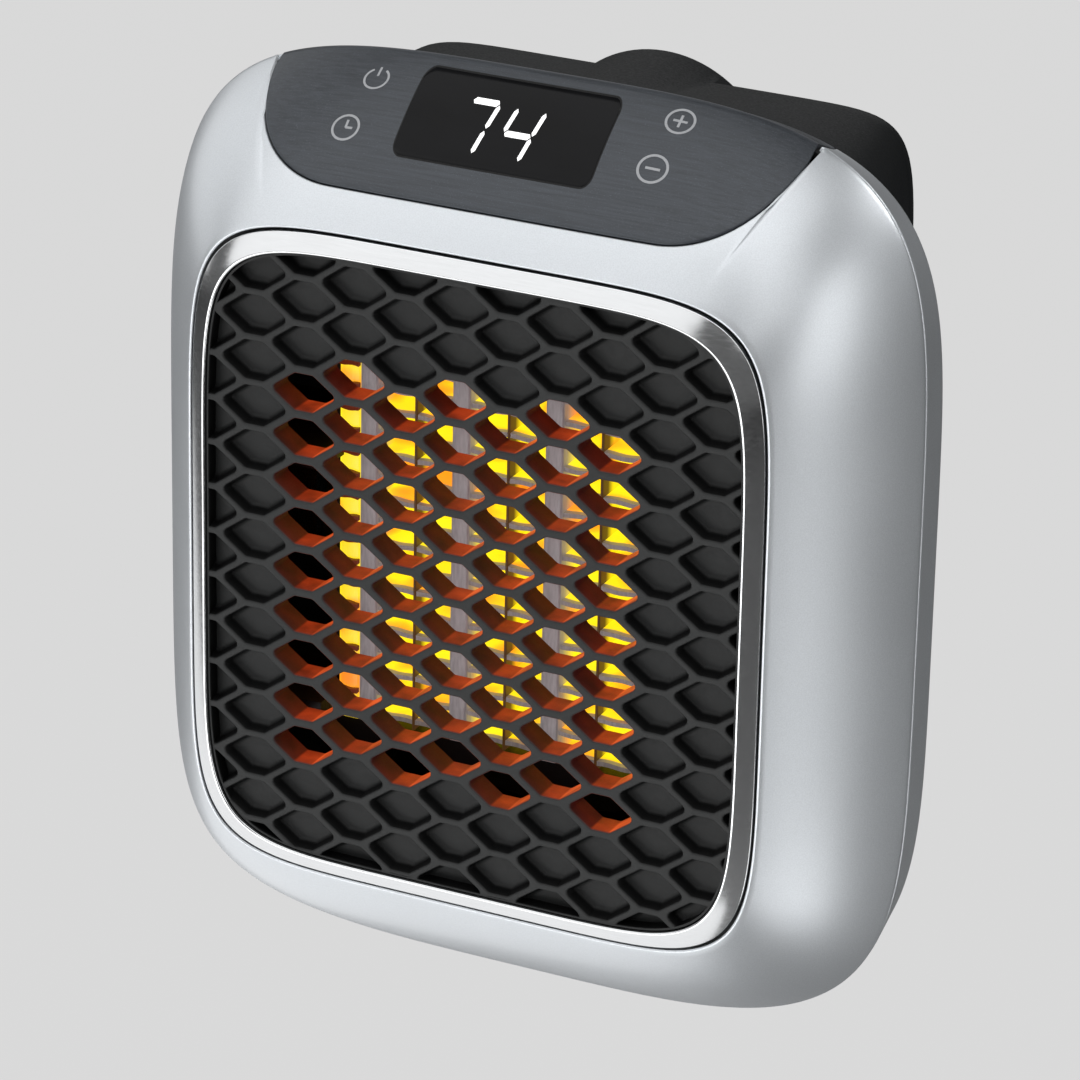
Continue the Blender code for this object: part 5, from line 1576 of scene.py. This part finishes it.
    def build(self) -> None:
        """Build and dress the lattice with its border and its rim."""
        mesh = bpy.data.meshes.new("hexagon_lattice")
        whole = bmesh.new()
        whole.verts.layers.float.new("lift")
        for x, z, is_open in self.cells():
            if all(self.field_reach(x + px, z + pz) < 1 for px, pz in self.tile()):
                self.add_cell(whole, x, z, is_open)
                continue
            part = bmesh.new()
            part.verts.layers.float.new("lift")
            self.add_cell(part, x, z, is_open)
            self.clip(part, x, z)
            scrap = bpy.data.meshes.new("scrap")
            part.to_mesh(scrap)
            part.free()
            whole.from_mesh(scrap)
            bpy.data.meshes.remove(scrap)
        self.add_border(whole)
        bmesh.ops.remove_doubles(whole, verts=whole.verts, dist=20 * MERGE)
        bmesh.ops.recalc_face_normals(whole, faces=whole.faces)
        whole.to_mesh(mesh)
        whole.free()
        lattice = linked("hexagon_lattice", mesh)
        mesh.materials.append(Looks.LATTICE.material())
        mesh.materials.append(Looks.PAINTED_GLOW.material())
        mesh.shade_smooth()
        mesh.set_sharp_from_angle(angle=math.radians(SHARP_DEGREES))
        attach(lattice, "heater")
        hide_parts("grille")

    def add_border(self, work: bmesh.types.BMesh) -> None:
        """Add the thin wall round the field and the rim that the trim ring holds down."""
        lift = work.verts.layers.float.get("lift")
        back = self.front + self.thickness
        rim_front = back - self.rim_thickness
        field = self.face_inset + self.border
        profile = [
            # The third number is painted light: the front face lit, the walls behind it in painted shade
            (field, self.front, 0.9),
            (self.face_inset, self.front, 0.9),
            (self.face_inset, rim_front, 0.0),
            (-self.rim_reach, rim_front, 0.0),
            (-self.rim_reach, back, 0.0),
            (field, back, 0.0),
            (field, self.front + self.border_edge, 0.0),
        ]
        loops = []
        for inwards, depth, value in profile:
            row = self.casing.ring(inwards, depth).row(self.border_columns)
            loop = [work.verts.new(point) for point in row]
            for vert in loop:
                vert[lift] = value
            loops.append(loop)
        for near, far in zip(loops, loops[1:] + loops[:1]):
            for corners in loop_faces(near, far):
                work.faces.new(corners)


@dataclass
class HeaterCore:
    """The ceramic bars, dividers and fins behind the grille."""

    casing: Casing
    front: float = 0.0144
    back: float = 0.0270
    shift_x: float = -0.0008
    height: float = 0.0680
    pitch: float = 0.0165
    bar_width: float = 0.0032
    bar_count: int = 4
    bar_round: float = 0.0004
    divider_width: float = 0.0005
    divider_proud: float = 0.0002
    fin_front: float = 0.0150
    fin_back: float = 0.0256
    fin_pitch: float = 0.00385
    fin_thickness: float = 0.00080
    fin_wave: float = 0.00012
    fin_drop: float = 0.0006
    fin_spans: int = 6
    end_strip: float = 0.0036
    end_front: float = 0.0145
    end_back: float = 0.0149
    end_fin_depth: float = 0.0008

    def bar_x(self, index: int) -> float:
        """Return the middle of a bar, counted from the left."""
        return self.shift_x + (index - (self.bar_count - 1) / 2) * self.pitch

    def build_bars(self) -> None:
        """Build and dress the bars: pressed aluminium sleeves with rounded long edges."""
        for number in range(1, self.bar_count + 1):
            x = self.bar_x(number - 1)
            bar = self.upright(f"bar_sleeve_{number}", x, self.bar_width, self.front, self.back)
            stand_in(bar, Looks.BAR, f"ceramic_bar_{number}")

    def upright(self, name: str, x: float, width: float, front: float, back: float) -> PIECE:
        """Build an upright flat bar with rounded long edges and slightly drawn-in ends.

        Args:
            name: The piece's name.
            x: Its middle across.
            width: Its width.
            front: The depth of its front face.
            back: The depth of its rear face.

        Returns:
            The new object.
        """
        half, tip = width / 2, self.height / 2
        corners = [(x - half, front), (x + half, front), (x + half, back), (x - half, back)]
        profile = soften(corners, [min(self.bar_round, half * 0.8)] * 4)
        middle = self.casing.ring_z
        rows = [
            [Vector((x + (px - x) * narrowed, at_depth(depth), middle + z)) for px, depth in profile]
            for z, narrowed in ((-tip, 0.9), (-tip + HAIR, 1.0), (tip - HAIR, 1.0), (tip, 0.9))
        ]
        return object_from(name, *skin_rows(rows, closed=False), "heater")

    def build_fins(self) -> None:
        """Build and dress the dividers and the stacks of fins on both sides of each."""
        near, far = self.divider_width / 2, self.pitch / 2 - self.bar_width / 2
        front = self.fin_front - self.divider_proud
        for number in range(1, self.bar_count):
            x = (self.bar_x(number - 1) + self.bar_x(number)) / 2
            divider = self.upright(f"divider_strip_{number}", x, self.divider_width, front, self.fin_back)
            stand_in(divider, Looks.HOT_DIVIDER, f"core_divider_{number}")
            for side, word in ((-1, "left"), (1, "right")):
                sides = (x + side * near, x + side * far)
                stack = self.fin_stack(f"fin_stack_{number}_{word}", sides, (self.fin_front, self.fin_back))
                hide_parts(f"fin_strip_{number}_{word}")

    def build_end_strip(self) -> None:
        """Build the hot end plate left of the first bar, with the fins that cross its front."""
        right = self.bar_x(0) - self.bar_width / 2
        left = right - self.end_strip
        plate = self.upright("end_plate", (left + right) / 2, self.end_strip, self.end_front, self.end_back)
        Looks.HOT_PLATE.dress(plate)
        depths = (self.end_front - self.end_fin_depth, self.end_front)
        fins = self.fin_stack("fin_stack_end", (left, right), depths)
        Looks.HOT_EDGE.dress(fins)

    def fin_stack(self, name: str, sides: PAIR, depths: PAIR) -> PIECE:
        """Build a stack of thin level fins between two sides, each with a slight wave.

        Args:
            name: The piece's name.
            sides: Where it starts and ends across.
            depths: The depths of its front and rear edges.

        Returns:
            The dressed stack.
        """
        low = self.casing.ring_z - self.height / 2 + self.fin_pitch / 2 - self.fin_drop
        points: List[Vector] = []
        faces: FACES = []
        for fin in range(int((self.height - self.fin_pitch / 2) / self.fin_pitch)):
            faces += strip_faces(len(points), self.fin_spans)
            for step in range(self.fin_spans + 1):
                share = step / self.fin_spans
                x = sides[0] + (sides[1] - sides[0]) * share
                z = low + fin * self.fin_pitch + self.fin_wave * math.sin(2 * math.pi * share + fin)
                for depth in depths:
                    for side in (-0.5, 0.5):
                        points.append(Vector((x, at_depth(depth), z + side * self.fin_thickness)))
        stack = object_from(name, points, faces, "heater")
        Looks.HOT_FIN.dress(stack)
        return stack


@dataclass
class RearCasing:
    """The matt black tapered casing with its hump, slots, screw wells and switch seat."""

    casing: Casing
    neck_inset: float = 0.0008
    wall: float = 0.0022
    rear_half_width: float = 0.0460
    rear_half_height: float = 0.0649
    rear_squareness: PAIR = (11.0, 11.0)
    rear_z: float = -0.0472
    rear_face: float = 0.0695
    fillet: float = 0.0070
    fillet_spans: int = 12
    flange_front: float = 0.0286
    flange_back: float = 0.0312
    neck_front: float = 0.0315
    hump_radius: float = 0.0210
    turret_radius: float = 0.0152
    fan_z: float = -0.0570
    slot_height: float = 0.0032
    slot_pitch: float = 0.0068
    slot_count: int = 9
    slot_end_points: int = 12
    field_radius: float = 0.0330
    slot_rib: float = 0.0050
    edge_round: float = 0.0004
    screw_x: float = 0.0360
    screw_z: float = 0.0545
    screw_radius: float = 0.0030
    screw_bore: float = 0.00145
    screw_seat: float = 0.0367
    screw_front: float = 0.0260
    boss_wall: float = 0.0020
    boss_proud: float = 0.0005
    seat_half_width: float = 0.0580
    seat_half_y: float = 0.0118
    seat_half_z: float = 0.0158
    seat_round: float = 0.0022
    seat_room_round: float = 0.0008
    switch_size: TRIPLE = (0.018, 0.0113, 0.0193)
    switch_depth: float = 0.0468
    switch_z: float = -0.0550
    columns: int = 176
    round_columns: int = 96
    screw_columns: int = 40

    def sections(self, inset: float) -> List[Section]:
        """Return the taper and the rounded rear edge, drawn in by a wall.

        Args:
            inset: How far the sides and the rear face are drawn in.

        Returns:
            The sections from the neck to the rear face.
        """
        neck = self.casing.round_inset + self.neck_inset + inset
        rows = [self.casing.body(neck, self.casing.band_back)]
        last = self.rear_face - inset
        for step in range(self.fillet_spans + 1):
            angle = math.pi / 2 * step / self.fillet_spans
            inwards = self.fillet * (1 - math.cos(angle)) / 2 + inset - self.fillet / 8
            depth = self.rear_face - self.fillet + self.fillet * math.sin(angle)
            width, height = self.rear_half_width - inwards, self.rear_half_height - inwards
            rows.append(Section(width, height, self.rear_squareness, self.rear_z, min(depth, last)))
            if depth >= last:
                break
        return rows

    def body_of(self, name: str, sections: Sequence[Section]) -> PIECE:
        """Return a closed helper body through some sections."""
        return loose(name, *skin_rows([section.row(self.columns) for section in sections], closed=False))

    def seat(self, inset: float, rounding: float) -> PIECE:
        """Return the block of the switch's seat, drawn in by a wall."""
        width = self.seat_half_width - inset
        size = (width, 2 * (self.seat_half_y - inset), 2 * (self.seat_half_z - inset))
        return block(size, (-width / 2, self.switch_depth, self.switch_z), rounding)

    def hump(self, radius: float, back: float) -> PIECE:
        """Return the round helper about the plug's axis, from the band to a depth."""
        return self.turned([(radius, self.casing.band_back), (radius, back)], self.round_columns)

    def build(self) -> None:
        """Build and dress the rear casing."""
        casing, wall = self.casing, self.wall
        flange = casing.wall + HAIR
        neck = casing.round_inset + self.neck_inset
        outer = [casing.body(flange, self.flange_front), casing.body(flange, self.flange_back)]
        outer += [casing.body(neck, self.neck_front)] + self.sections(0)
        shell = self.body_of("rear_casing", outer)
        hump = self.hump(self.hump_radius, self.rear_face - HAIR)
        combine(shell, [hump, self.seat(0, self.seat_round)], "UNION")
        inner = [casing.body(neck + wall, self.flange_front - OVERRUN)]
        inner += [casing.body(neck + wall, casing.band_back - OVERRUN)] + self.sections(wall)
        cavity = self.body_of("inside", inner)
        hump_room = self.hump(self.hump_radius - wall, self.rear_face - wall)
        combine(cavity, [hump_room, self.seat(wall, self.seat_room_round)], "UNION")
        radius = self.screw_radius + self.boss_wall
        boss = [(radius, self.flange_front - self.boss_proud), (radius, self.rear_face + OVERRUN)]
        bosses = [self.turned(boss, self.screw_columns, x, z) for x, z in self.screws()]
        combine(cavity, bosses, "DIFFERENCE")
        combine(shell, [cavity], "DIFFERENCE")
        combine(shell, [self.screw_well(x, z) for x, z in self.screws()], "DIFFERENCE")
        combine(shell, [self.turret_mouth(), self.switch_hole()] + self.slots(), "DIFFERENCE")
        tidy_mesh(shell, CUT_SHARP_DEGREES)
        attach(shell, "heater")
        stand_in(shell, Looks.HOUSING, "rear_housing")

    def turned(self, profile: Sequence[PAIR], count: int, x: float = 0.0, z: float = 0.0) -> PIECE:
        """Return a turned helper about an axis, the plug's unless x and z say otherwise."""
        return loose("turned", *skin_rows(lathe(profile, x, z, count), closed=False))

    def mouth(self, radius: float) -> List[PAIR]:
        """Return the end of a profile that opens through the rear face, with a softened mouth."""
        back = self.rear_face
        wide = radius + self.edge_round
        return [(radius, back - self.edge_round), (wide, back), (wide, back + 2 * OVERRUN)]

    def screws(self) -> List[PAIR]:
        """Return the four screw places."""
        z = self.casing.centre_z
        return [(sx * self.screw_x, z + sz * self.screw_z) for sx in (-1, 1) for sz in (-1, 1)]

    def screw_well(self, x: float, z: float) -> PIECE:
        """Return the helper that opens a screw's well, with a softened mouth and a screw hole."""
        radius = self.screw_radius + 2 * HAIR
        bore = [(self.screw_bore, self.screw_front), (self.screw_bore, self.screw_seat)]
        profile = bore + [(radius, self.screw_seat + 0.00001)] + self.mouth(radius)
        return self.turned(profile, self.screw_columns, x, z)

    def turret_mouth(self) -> PIECE:
        """Return the helper that opens the hump for the turret."""
        radius = self.turret_radius + HAIR
        inside = (radius, self.rear_face - self.wall - OVERRUN)
        return self.turned([inside] + self.mouth(radius), self.round_columns)

    def switch_hole(self) -> PIECE:
        """Return the helper that opens the seat for the switch."""
        return block(self.switch_size, (-self.seat_half_width, self.switch_depth, self.switch_z))

    def slots(self) -> List[PIECE]:
        """Return the helpers that open the air slots, their mouths softened."""
        helpers = []
        for row in range(self.slot_count):
            z = (row - (self.slot_count - 1) / 2) * self.slot_pitch
            chord = math.sqrt(max(self.field_radius ** 2 - z ** 2, 0.0))
            length = chord - self.slot_rib / 2
            if length < 2 * self.slot_height:
                continue
            for side in (-1, 1):
                middle = side * (self.slot_rib / 2 + length / 2)
                helpers.append(self.slot(middle, self.fan_z + z, length / 2))
        return helpers

    def slot(self, x: float, z: float, half_length: float) -> PIECE:
        """Return the helper for one round-ended slot."""
        half_height = self.slot_height / 2
        straight = half_length - half_height
        rows = []
        for radius, depth in [(half_height, self.rear_face - self.wall - OVERRUN)] + self.mouth(half_height):
            row = []
            for end in (1, -1):
                for step in range(self.slot_end_points):
                    angle = math.pi * (step / (self.slot_end_points - 1) - end / 2)
                    px = x + end * straight + radius * math.cos(angle)
                    row.append(Vector((px, at_depth(depth), z + radius * math.sin(angle))))
            rows.append(row)
        return loose("slot", *skin_rows(rows, closed=False))


@dataclass
class TurningPlug:
    """The round plug base that turns in the hump, and its two flat blades."""

    radius: float = 0.0152
    face: float = 0.0720
    inner: float = 0.0600
    flange_radius: float = 0.0170
    flange_front: float = 0.06515
    flange_back: float = 0.06715
    face_round: float = 0.0008
    blade_spacing: float = 0.0127
    blade_width: float = 0.00635
    blade_thickness: float = 0.0015
    blade_reach: float = 0.0170
    blade_step: float = 0.0012
    blade_chamfer: float = 0.0009
    blade_corner: float = 0.0004
    blade_edge: float = 0.0002
    foot_thickness: float = 0.0012
    finger_radius: float = 0.0110
    finger_slope: float = 0.0006
    finger_depth: float = 0.0006
    cut_depth: float = 0.03
    columns: int = 96
    round_spans: int = 4

    def build_turret(self) -> None:
        """Build and dress the turret, with a shallow dish round its blades."""
        profile = [
            (self.radius, self.inner),
            (self.radius, self.flange_front),
            (self.flange_radius, self.flange_front),
            (self.flange_radius, self.flange_back),
            (self.radius, self.flange_back),
        ]
        for step in range(self.round_spans + 1):
            angle = math.pi / 2 * step / self.round_spans
            inwards, short = self.face_round * (1 - math.cos(angle)), self.face_round * (1 - math.sin(angle))
            profile.append((self.radius - inwards, self.face - short))
        profile.append((self.finger_radius + self.finger_slope, self.face))
        profile.append((self.finger_radius, self.face - self.finger_depth))
        turret = loose("plug_base", *skin_rows(lathe(profile, 0, 0, self.columns), closed=False))
        size = (self.blade_thickness + 2 * HAIR, self.cut_depth, self.blade_width + 2 * HAIR)
        cuts = [block(size, (side * self.blade_spacing / 2, self.face, 0)) for side in (-1, 1)]
        combine(turret, cuts, "DIFFERENCE")
        tidy_mesh(turret, CUT_SHARP_DEGREES)
        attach(turret, "plug")
        stand_in(turret, Looks.TURRET, "plug_turret")

    def build_blades(self) -> None:
        """Build and dress the two flat blades with rounded tips."""
        half, thick, edge = self.blade_width / 2, self.blade_thickness / 2, self.blade_edge
        tip = self.face + self.blade_reach
        for side, word in ((-1, "live"), (1, "neutral")):
            low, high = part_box("blade_" + word)
            x = side * self.blade_spacing / 2
            start = low[1] + RING_TO_WALL
            shoulder, nose = tip - self.blade_step, half - self.blade_chamfer
            outline = [(-half, start), (half, start), (half, shoulder)]
            outline += [(nose, tip), (-nose, tip), (-half, shoulder)]
            outline = soften(outline, [0, 0] + [self.blade_corner] * 4)
            rows = []
            for offset, draw in ((-thick, edge), (edge - thick, 0.0), (thick - edge, 0.0), (thick, edge)):
                row = []
                for z, depth in outline:
                    drawn = depth - draw if depth > self.face else depth
                    row.append(Vector((x + offset, at_depth(drawn), z * (1 - draw / half))))
                rows.append(row)
            blade = loose("flat_" + word, *skin_rows(rows, closed=False))
            if word == "neutral":
                size = (high[0] - x, self.foot_thickness, self.blade_width)
                foot = block(size, ((x + high[0]) / 2, start + self.foot_thickness / 2, 0))
                combine(blade, [foot], "UNION")
            tidy_mesh(blade, CUT_SHARP_DEGREES)
            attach(blade, "plug")
            stand_in(blade, Looks.NICKEL, "blade_" + word)


class CarriedOver:
    """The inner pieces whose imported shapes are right, each with its own finish."""

    FINISHES: Tuple[Tuple[Finish, Tuple[str, ...]], ...] = (
        (Looks.SWITCH, ("rocker_frame", "rocker_cap")),
        (Looks.FRAME, ("heater_frame", "fan_shroud")),
        (Looks.STEEL, ("thermal_cutout", "motor_shaft", "fan_motor", "motor_bracket", "touch_spring")),
        (Looks.DARK_STEEL, ("housing_screw",)),
        (Looks.IMPELLER, ("fan_impeller",)),
        (Looks.RETAINER, ("turret_retainer",)),
        (Looks.CARRIER, ("contact_carrier",)),
        (Looks.BRASS, ("contact_ring",)),
        (Looks.MODULE, ("display_module",)),
        (Looks.BOARD, ("control_board", "power_board")),
        (Looks.RELAY, ("power_relay",)),
        (Looks.CAN, ("power_capacitor",)),
    )

    def dress(self) -> None:
        """Dress every node whose name starts with one of these."""
        for name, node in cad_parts.items():
            for finish, starts in self.FINISHES:
                if name.startswith(starts):
                    finish.dress(node)


# Studio


@dataclass(frozen=True)
class PhotoCamera:
    """The camera that took the photograph, solved from the ring and the casing."""

    focal_pixels: float = 5449.3856
    azimuth: float = -0.4433946
    elevation: float = 0.4046059
    roll: float = 0.0197588
    shift: TRIPLE = (-0.0111199, 0.0083115, 0.8616266)
    ring_centre: TRIPLE = (0.0, -0.072, -0.049)
    image_pixels: int = 1080
    sensor: float = 36.0
    clip: PAIR = (0.05, 50.0)

    def turn(self) -> Matrix:
        """Return the turn from the object's axes to the image's right, down and away."""
        rolled, sideways = [Matrix.Rotation(angle, 3, "Z") for angle in (self.roll, self.azimuth)]
        return rolled @ Matrix.Rotation(math.pi / 2 + self.elevation, 3, "X") @ sideways

    def build(self) -> None:
        """Make the camera and set it as the scene's."""
        data = bpy.data.cameras.new("photo_camera")
        data.sensor_fit = "HORIZONTAL"
        data.sensor_width = self.sensor
        data.lens = self.focal_pixels / self.image_pixels * self.sensor
        data.clip_start, data.clip_end = self.clip
        camera = linked("photo_camera", data)
        turn = self.turn()
        right, down, away = turn
        placed = Matrix((right, -down, -away)).transposed().to_4x4()
        placed.translation = Vector(self.ring_centre) - turn.transposed() @ Vector(self.shift)
        camera.matrix_world = placed
        bpy.context.scene.camera = camera


@dataclass(frozen=True)
class SoftLamp:
    """One large soft lamp, aimed at the heater and unseen by the camera."""

    name: str
    place: TRIPLE
    width: float
    height: float
    watts: float
    target: TRIPLE = (0.0, -0.05, -0.05)

    def build(self) -> None:
        """Make the lamp."""
        data = bpy.data.lights.new(self.name, "AREA")
        data.shape = "RECTANGLE"
        data.size = self.width
        data.size_y = self.height
        data.energy = self.watts
        lamp = linked(self.name, data)
        lamp.visible_camera = False
        aim = Vector(self.target) - Vector(self.place)
        lamp.matrix_world = Matrix.Translation(self.place) @ aim.to_track_quat("-Z", "Y").to_matrix().to_4x4()


@dataclass
class Studio:
    """Pale floor and backdrop, soft lamps and the world."""

    background: COLOUR = (0.694, 0.694, 0.694)
    floor_paint: COLOUR = (0.26, 0.26, 0.26)
    floor_lift: float = 1.055
    floor_drop: float = 0.70
    floor_size: float = 8.0
    floor_bend: float = 1.5
    bend_spans: int = 12
    floor_share: float = 0.94
    world_strength: float = 0.13

    def build(self) -> None:
        """Build the floor, the lamps and the world."""
        self.build_floor()
        self.build_world()
        lamps = (
            SoftLamp("key_lamp", (-1.00, -1.55, 0.85), 2.0, 1.8, 12.0),
            SoftLamp("left_lamp", (-1.45, 0.20, 0.60), 1.4, 1.8, 6.5),
            SoftLamp("top_lamp", (-0.1, -0.45, 1.4), 1.8, 1.2, 9.0),
            SoftLamp("corner_lamp", (0.85, -1.10, 0.90), 0.9, 0.9, 2.8),
            SoftLamp("right_lamp", (1.42, -0.42, 0.15), 0.6, 1.1, 3.9),
            SoftLamp("right_low_lamp", (0.78, -0.25, -0.78), 0.6, 0.6, 2.2),
            SoftLamp("low_lamp", (-0.45, -1.30, -0.55), 1.6, 0.5, 6.8),
            SoftLamp("bottom_lamp", (-0.25, -0.22, -0.72), 1.6, 1.2, 5.4),
            SoftLamp("edge_lamp", (1.05, 0.70, 0.90), 0.2, 0.7, 5.5),
            SoftLamp("rear_lamp", (-0.5, 1.3, 0.7), 1.2, 1.0, 2.0),
        )
        for lamp in lamps:
            lamp.build()

    def build_floor(self) -> None:
        """Build the floor, which curves up far behind the heater."""
        lowest = CAD_BOX[0][2] - self.floor_drop
        half = self.floor_size / 2
        flat = half - self.floor_bend
        profile = [(-half, 0.0), (flat, 0.0)]
        for step in range(1, self.bend_spans + 1):
            angle = math.pi / 2 * step / self.bend_spans
            rise = self.floor_bend * (1 - math.cos(angle))
            profile.append((flat + self.floor_bend * math.sin(angle), rise))
        profile.append((half, half))
        points = [(x, y, lowest + z) for x in (-half, half) for y, z in profile]
        count = len(profile)
        faces = [[i, i + 1, count + i + 1, count + i] for i in range(count - 1)]
        mesh = bpy.data.meshes.new("studio_floor")
        mesh.from_pydata(points, [], faces)
        mesh.shade_smooth()
        mesh.materials.append(self.floor_material())
        linked("studio_floor", mesh)

    def floor_material(self) -> bpy.types.Material:
        """Return the floor's paint: pale, and level in tone where the camera sees it."""
        paint = {"Roughness": 0.9, "Base_Color": self.floor_paint, "Specular_IOR_Level": 0.1}
        sheet = NodeSheet("look_studio_floor", **paint)
        glow = sheet.add("ShaderNodeEmission")
        glow.inputs["Color"].default_value = (*shade_of(self.background, self.floor_lift), 1.0)
        path = sheet.add("ShaderNodeLightPath")
        seen = sheet.add("ShaderNodeMath", operation="MAXIMUM")
        sheet.link(path.outputs["Is Camera Ray"], seen.inputs[0])
        sheet.link(path.outputs["Is Transmission Ray"], seen.inputs[1])
        share = sheet.add("ShaderNodeMath", operation="MULTIPLY")
        share.inputs[1].default_value = self.floor_share
        sheet.link(seen.outputs["Value"], share.inputs[0])
        mixed = sheet.add("ShaderNodeMixShader")
        sheet.link(share.outputs["Value"], mixed.inputs["Fac"])
        sheet.link(sheet.shader.outputs["BSDF"], mixed.inputs[1])
        sheet.link(glow.outputs["Emission"], mixed.inputs[2])
        sheet.link(mixed.outputs["Shader"], sheet.output.inputs["Surface"])
        return sheet.material

    def build_world(self) -> None:
        """Set a soft grey world that is the background's grey where the camera sees it."""
        world = bpy.data.worlds.new("studio_world")
        bpy.context.scene.world = world
        world.use_nodes = True
        tree = world.node_tree
        tree.nodes.clear()
        output = tree.nodes.new("ShaderNodeOutputWorld")
        path = tree.nodes.new("ShaderNodeLightPath")
        mixed = tree.nodes.new("ShaderNodeMixShader")
        tree.links.new(path.outputs["Is Camera Ray"], mixed.inputs["Fac"])
        room, seen = ((1.0, 1.0, 1.0), self.world_strength), (self.background, 1.0)
        for number, (colour, strength) in enumerate((room, seen), 1):
            light = tree.nodes.new("ShaderNodeBackground")
            light.inputs["Color"].default_value = (*colour, 1.0)
            light.inputs["Strength"].default_value = strength
            tree.links.new(light.outputs["Background"], mixed.inputs[number])
        tree.links.new(mixed.outputs["Shader"], output.inputs["Surface"])
        bpy.context.scene.view_settings.view_transform = "Standard"


def main() -> None:
    """Build each sub-assembly in order."""
    logging.basicConfig(level=logging.INFO, format="%(name)s: %(message)s")
    casing = Casing()
    outline = PanelOutline(casing)
    PhotoCamera().build()
    Studio().build()
    shells = SilverShells(casing, outline)
    top = ControlTop(casing, outline)
    core = HeaterCore(casing)
    plug = TurningPlug()
    builds: Tuple[Callable[[], None], ...] = (
        shells.build_front,
        shells.build_band,
        shells.build_lining,
        top.build_panel,
        top.build_window,
        top.build_digits,
        top.build_icons,
        TrimRing(casing).build,
        Grille(casing).build,
        core.build_bars,
        core.build_fins,
        core.build_end_strip,
        RearCasing(casing).build,
        plug.build_turret,
        plug.build_blades,
        CarriedOver().dress,
    )
    for build in builds:
        build()
        LOG.info("done: %s", build.__qualname__)


if __name__ == "__main__":
    main()
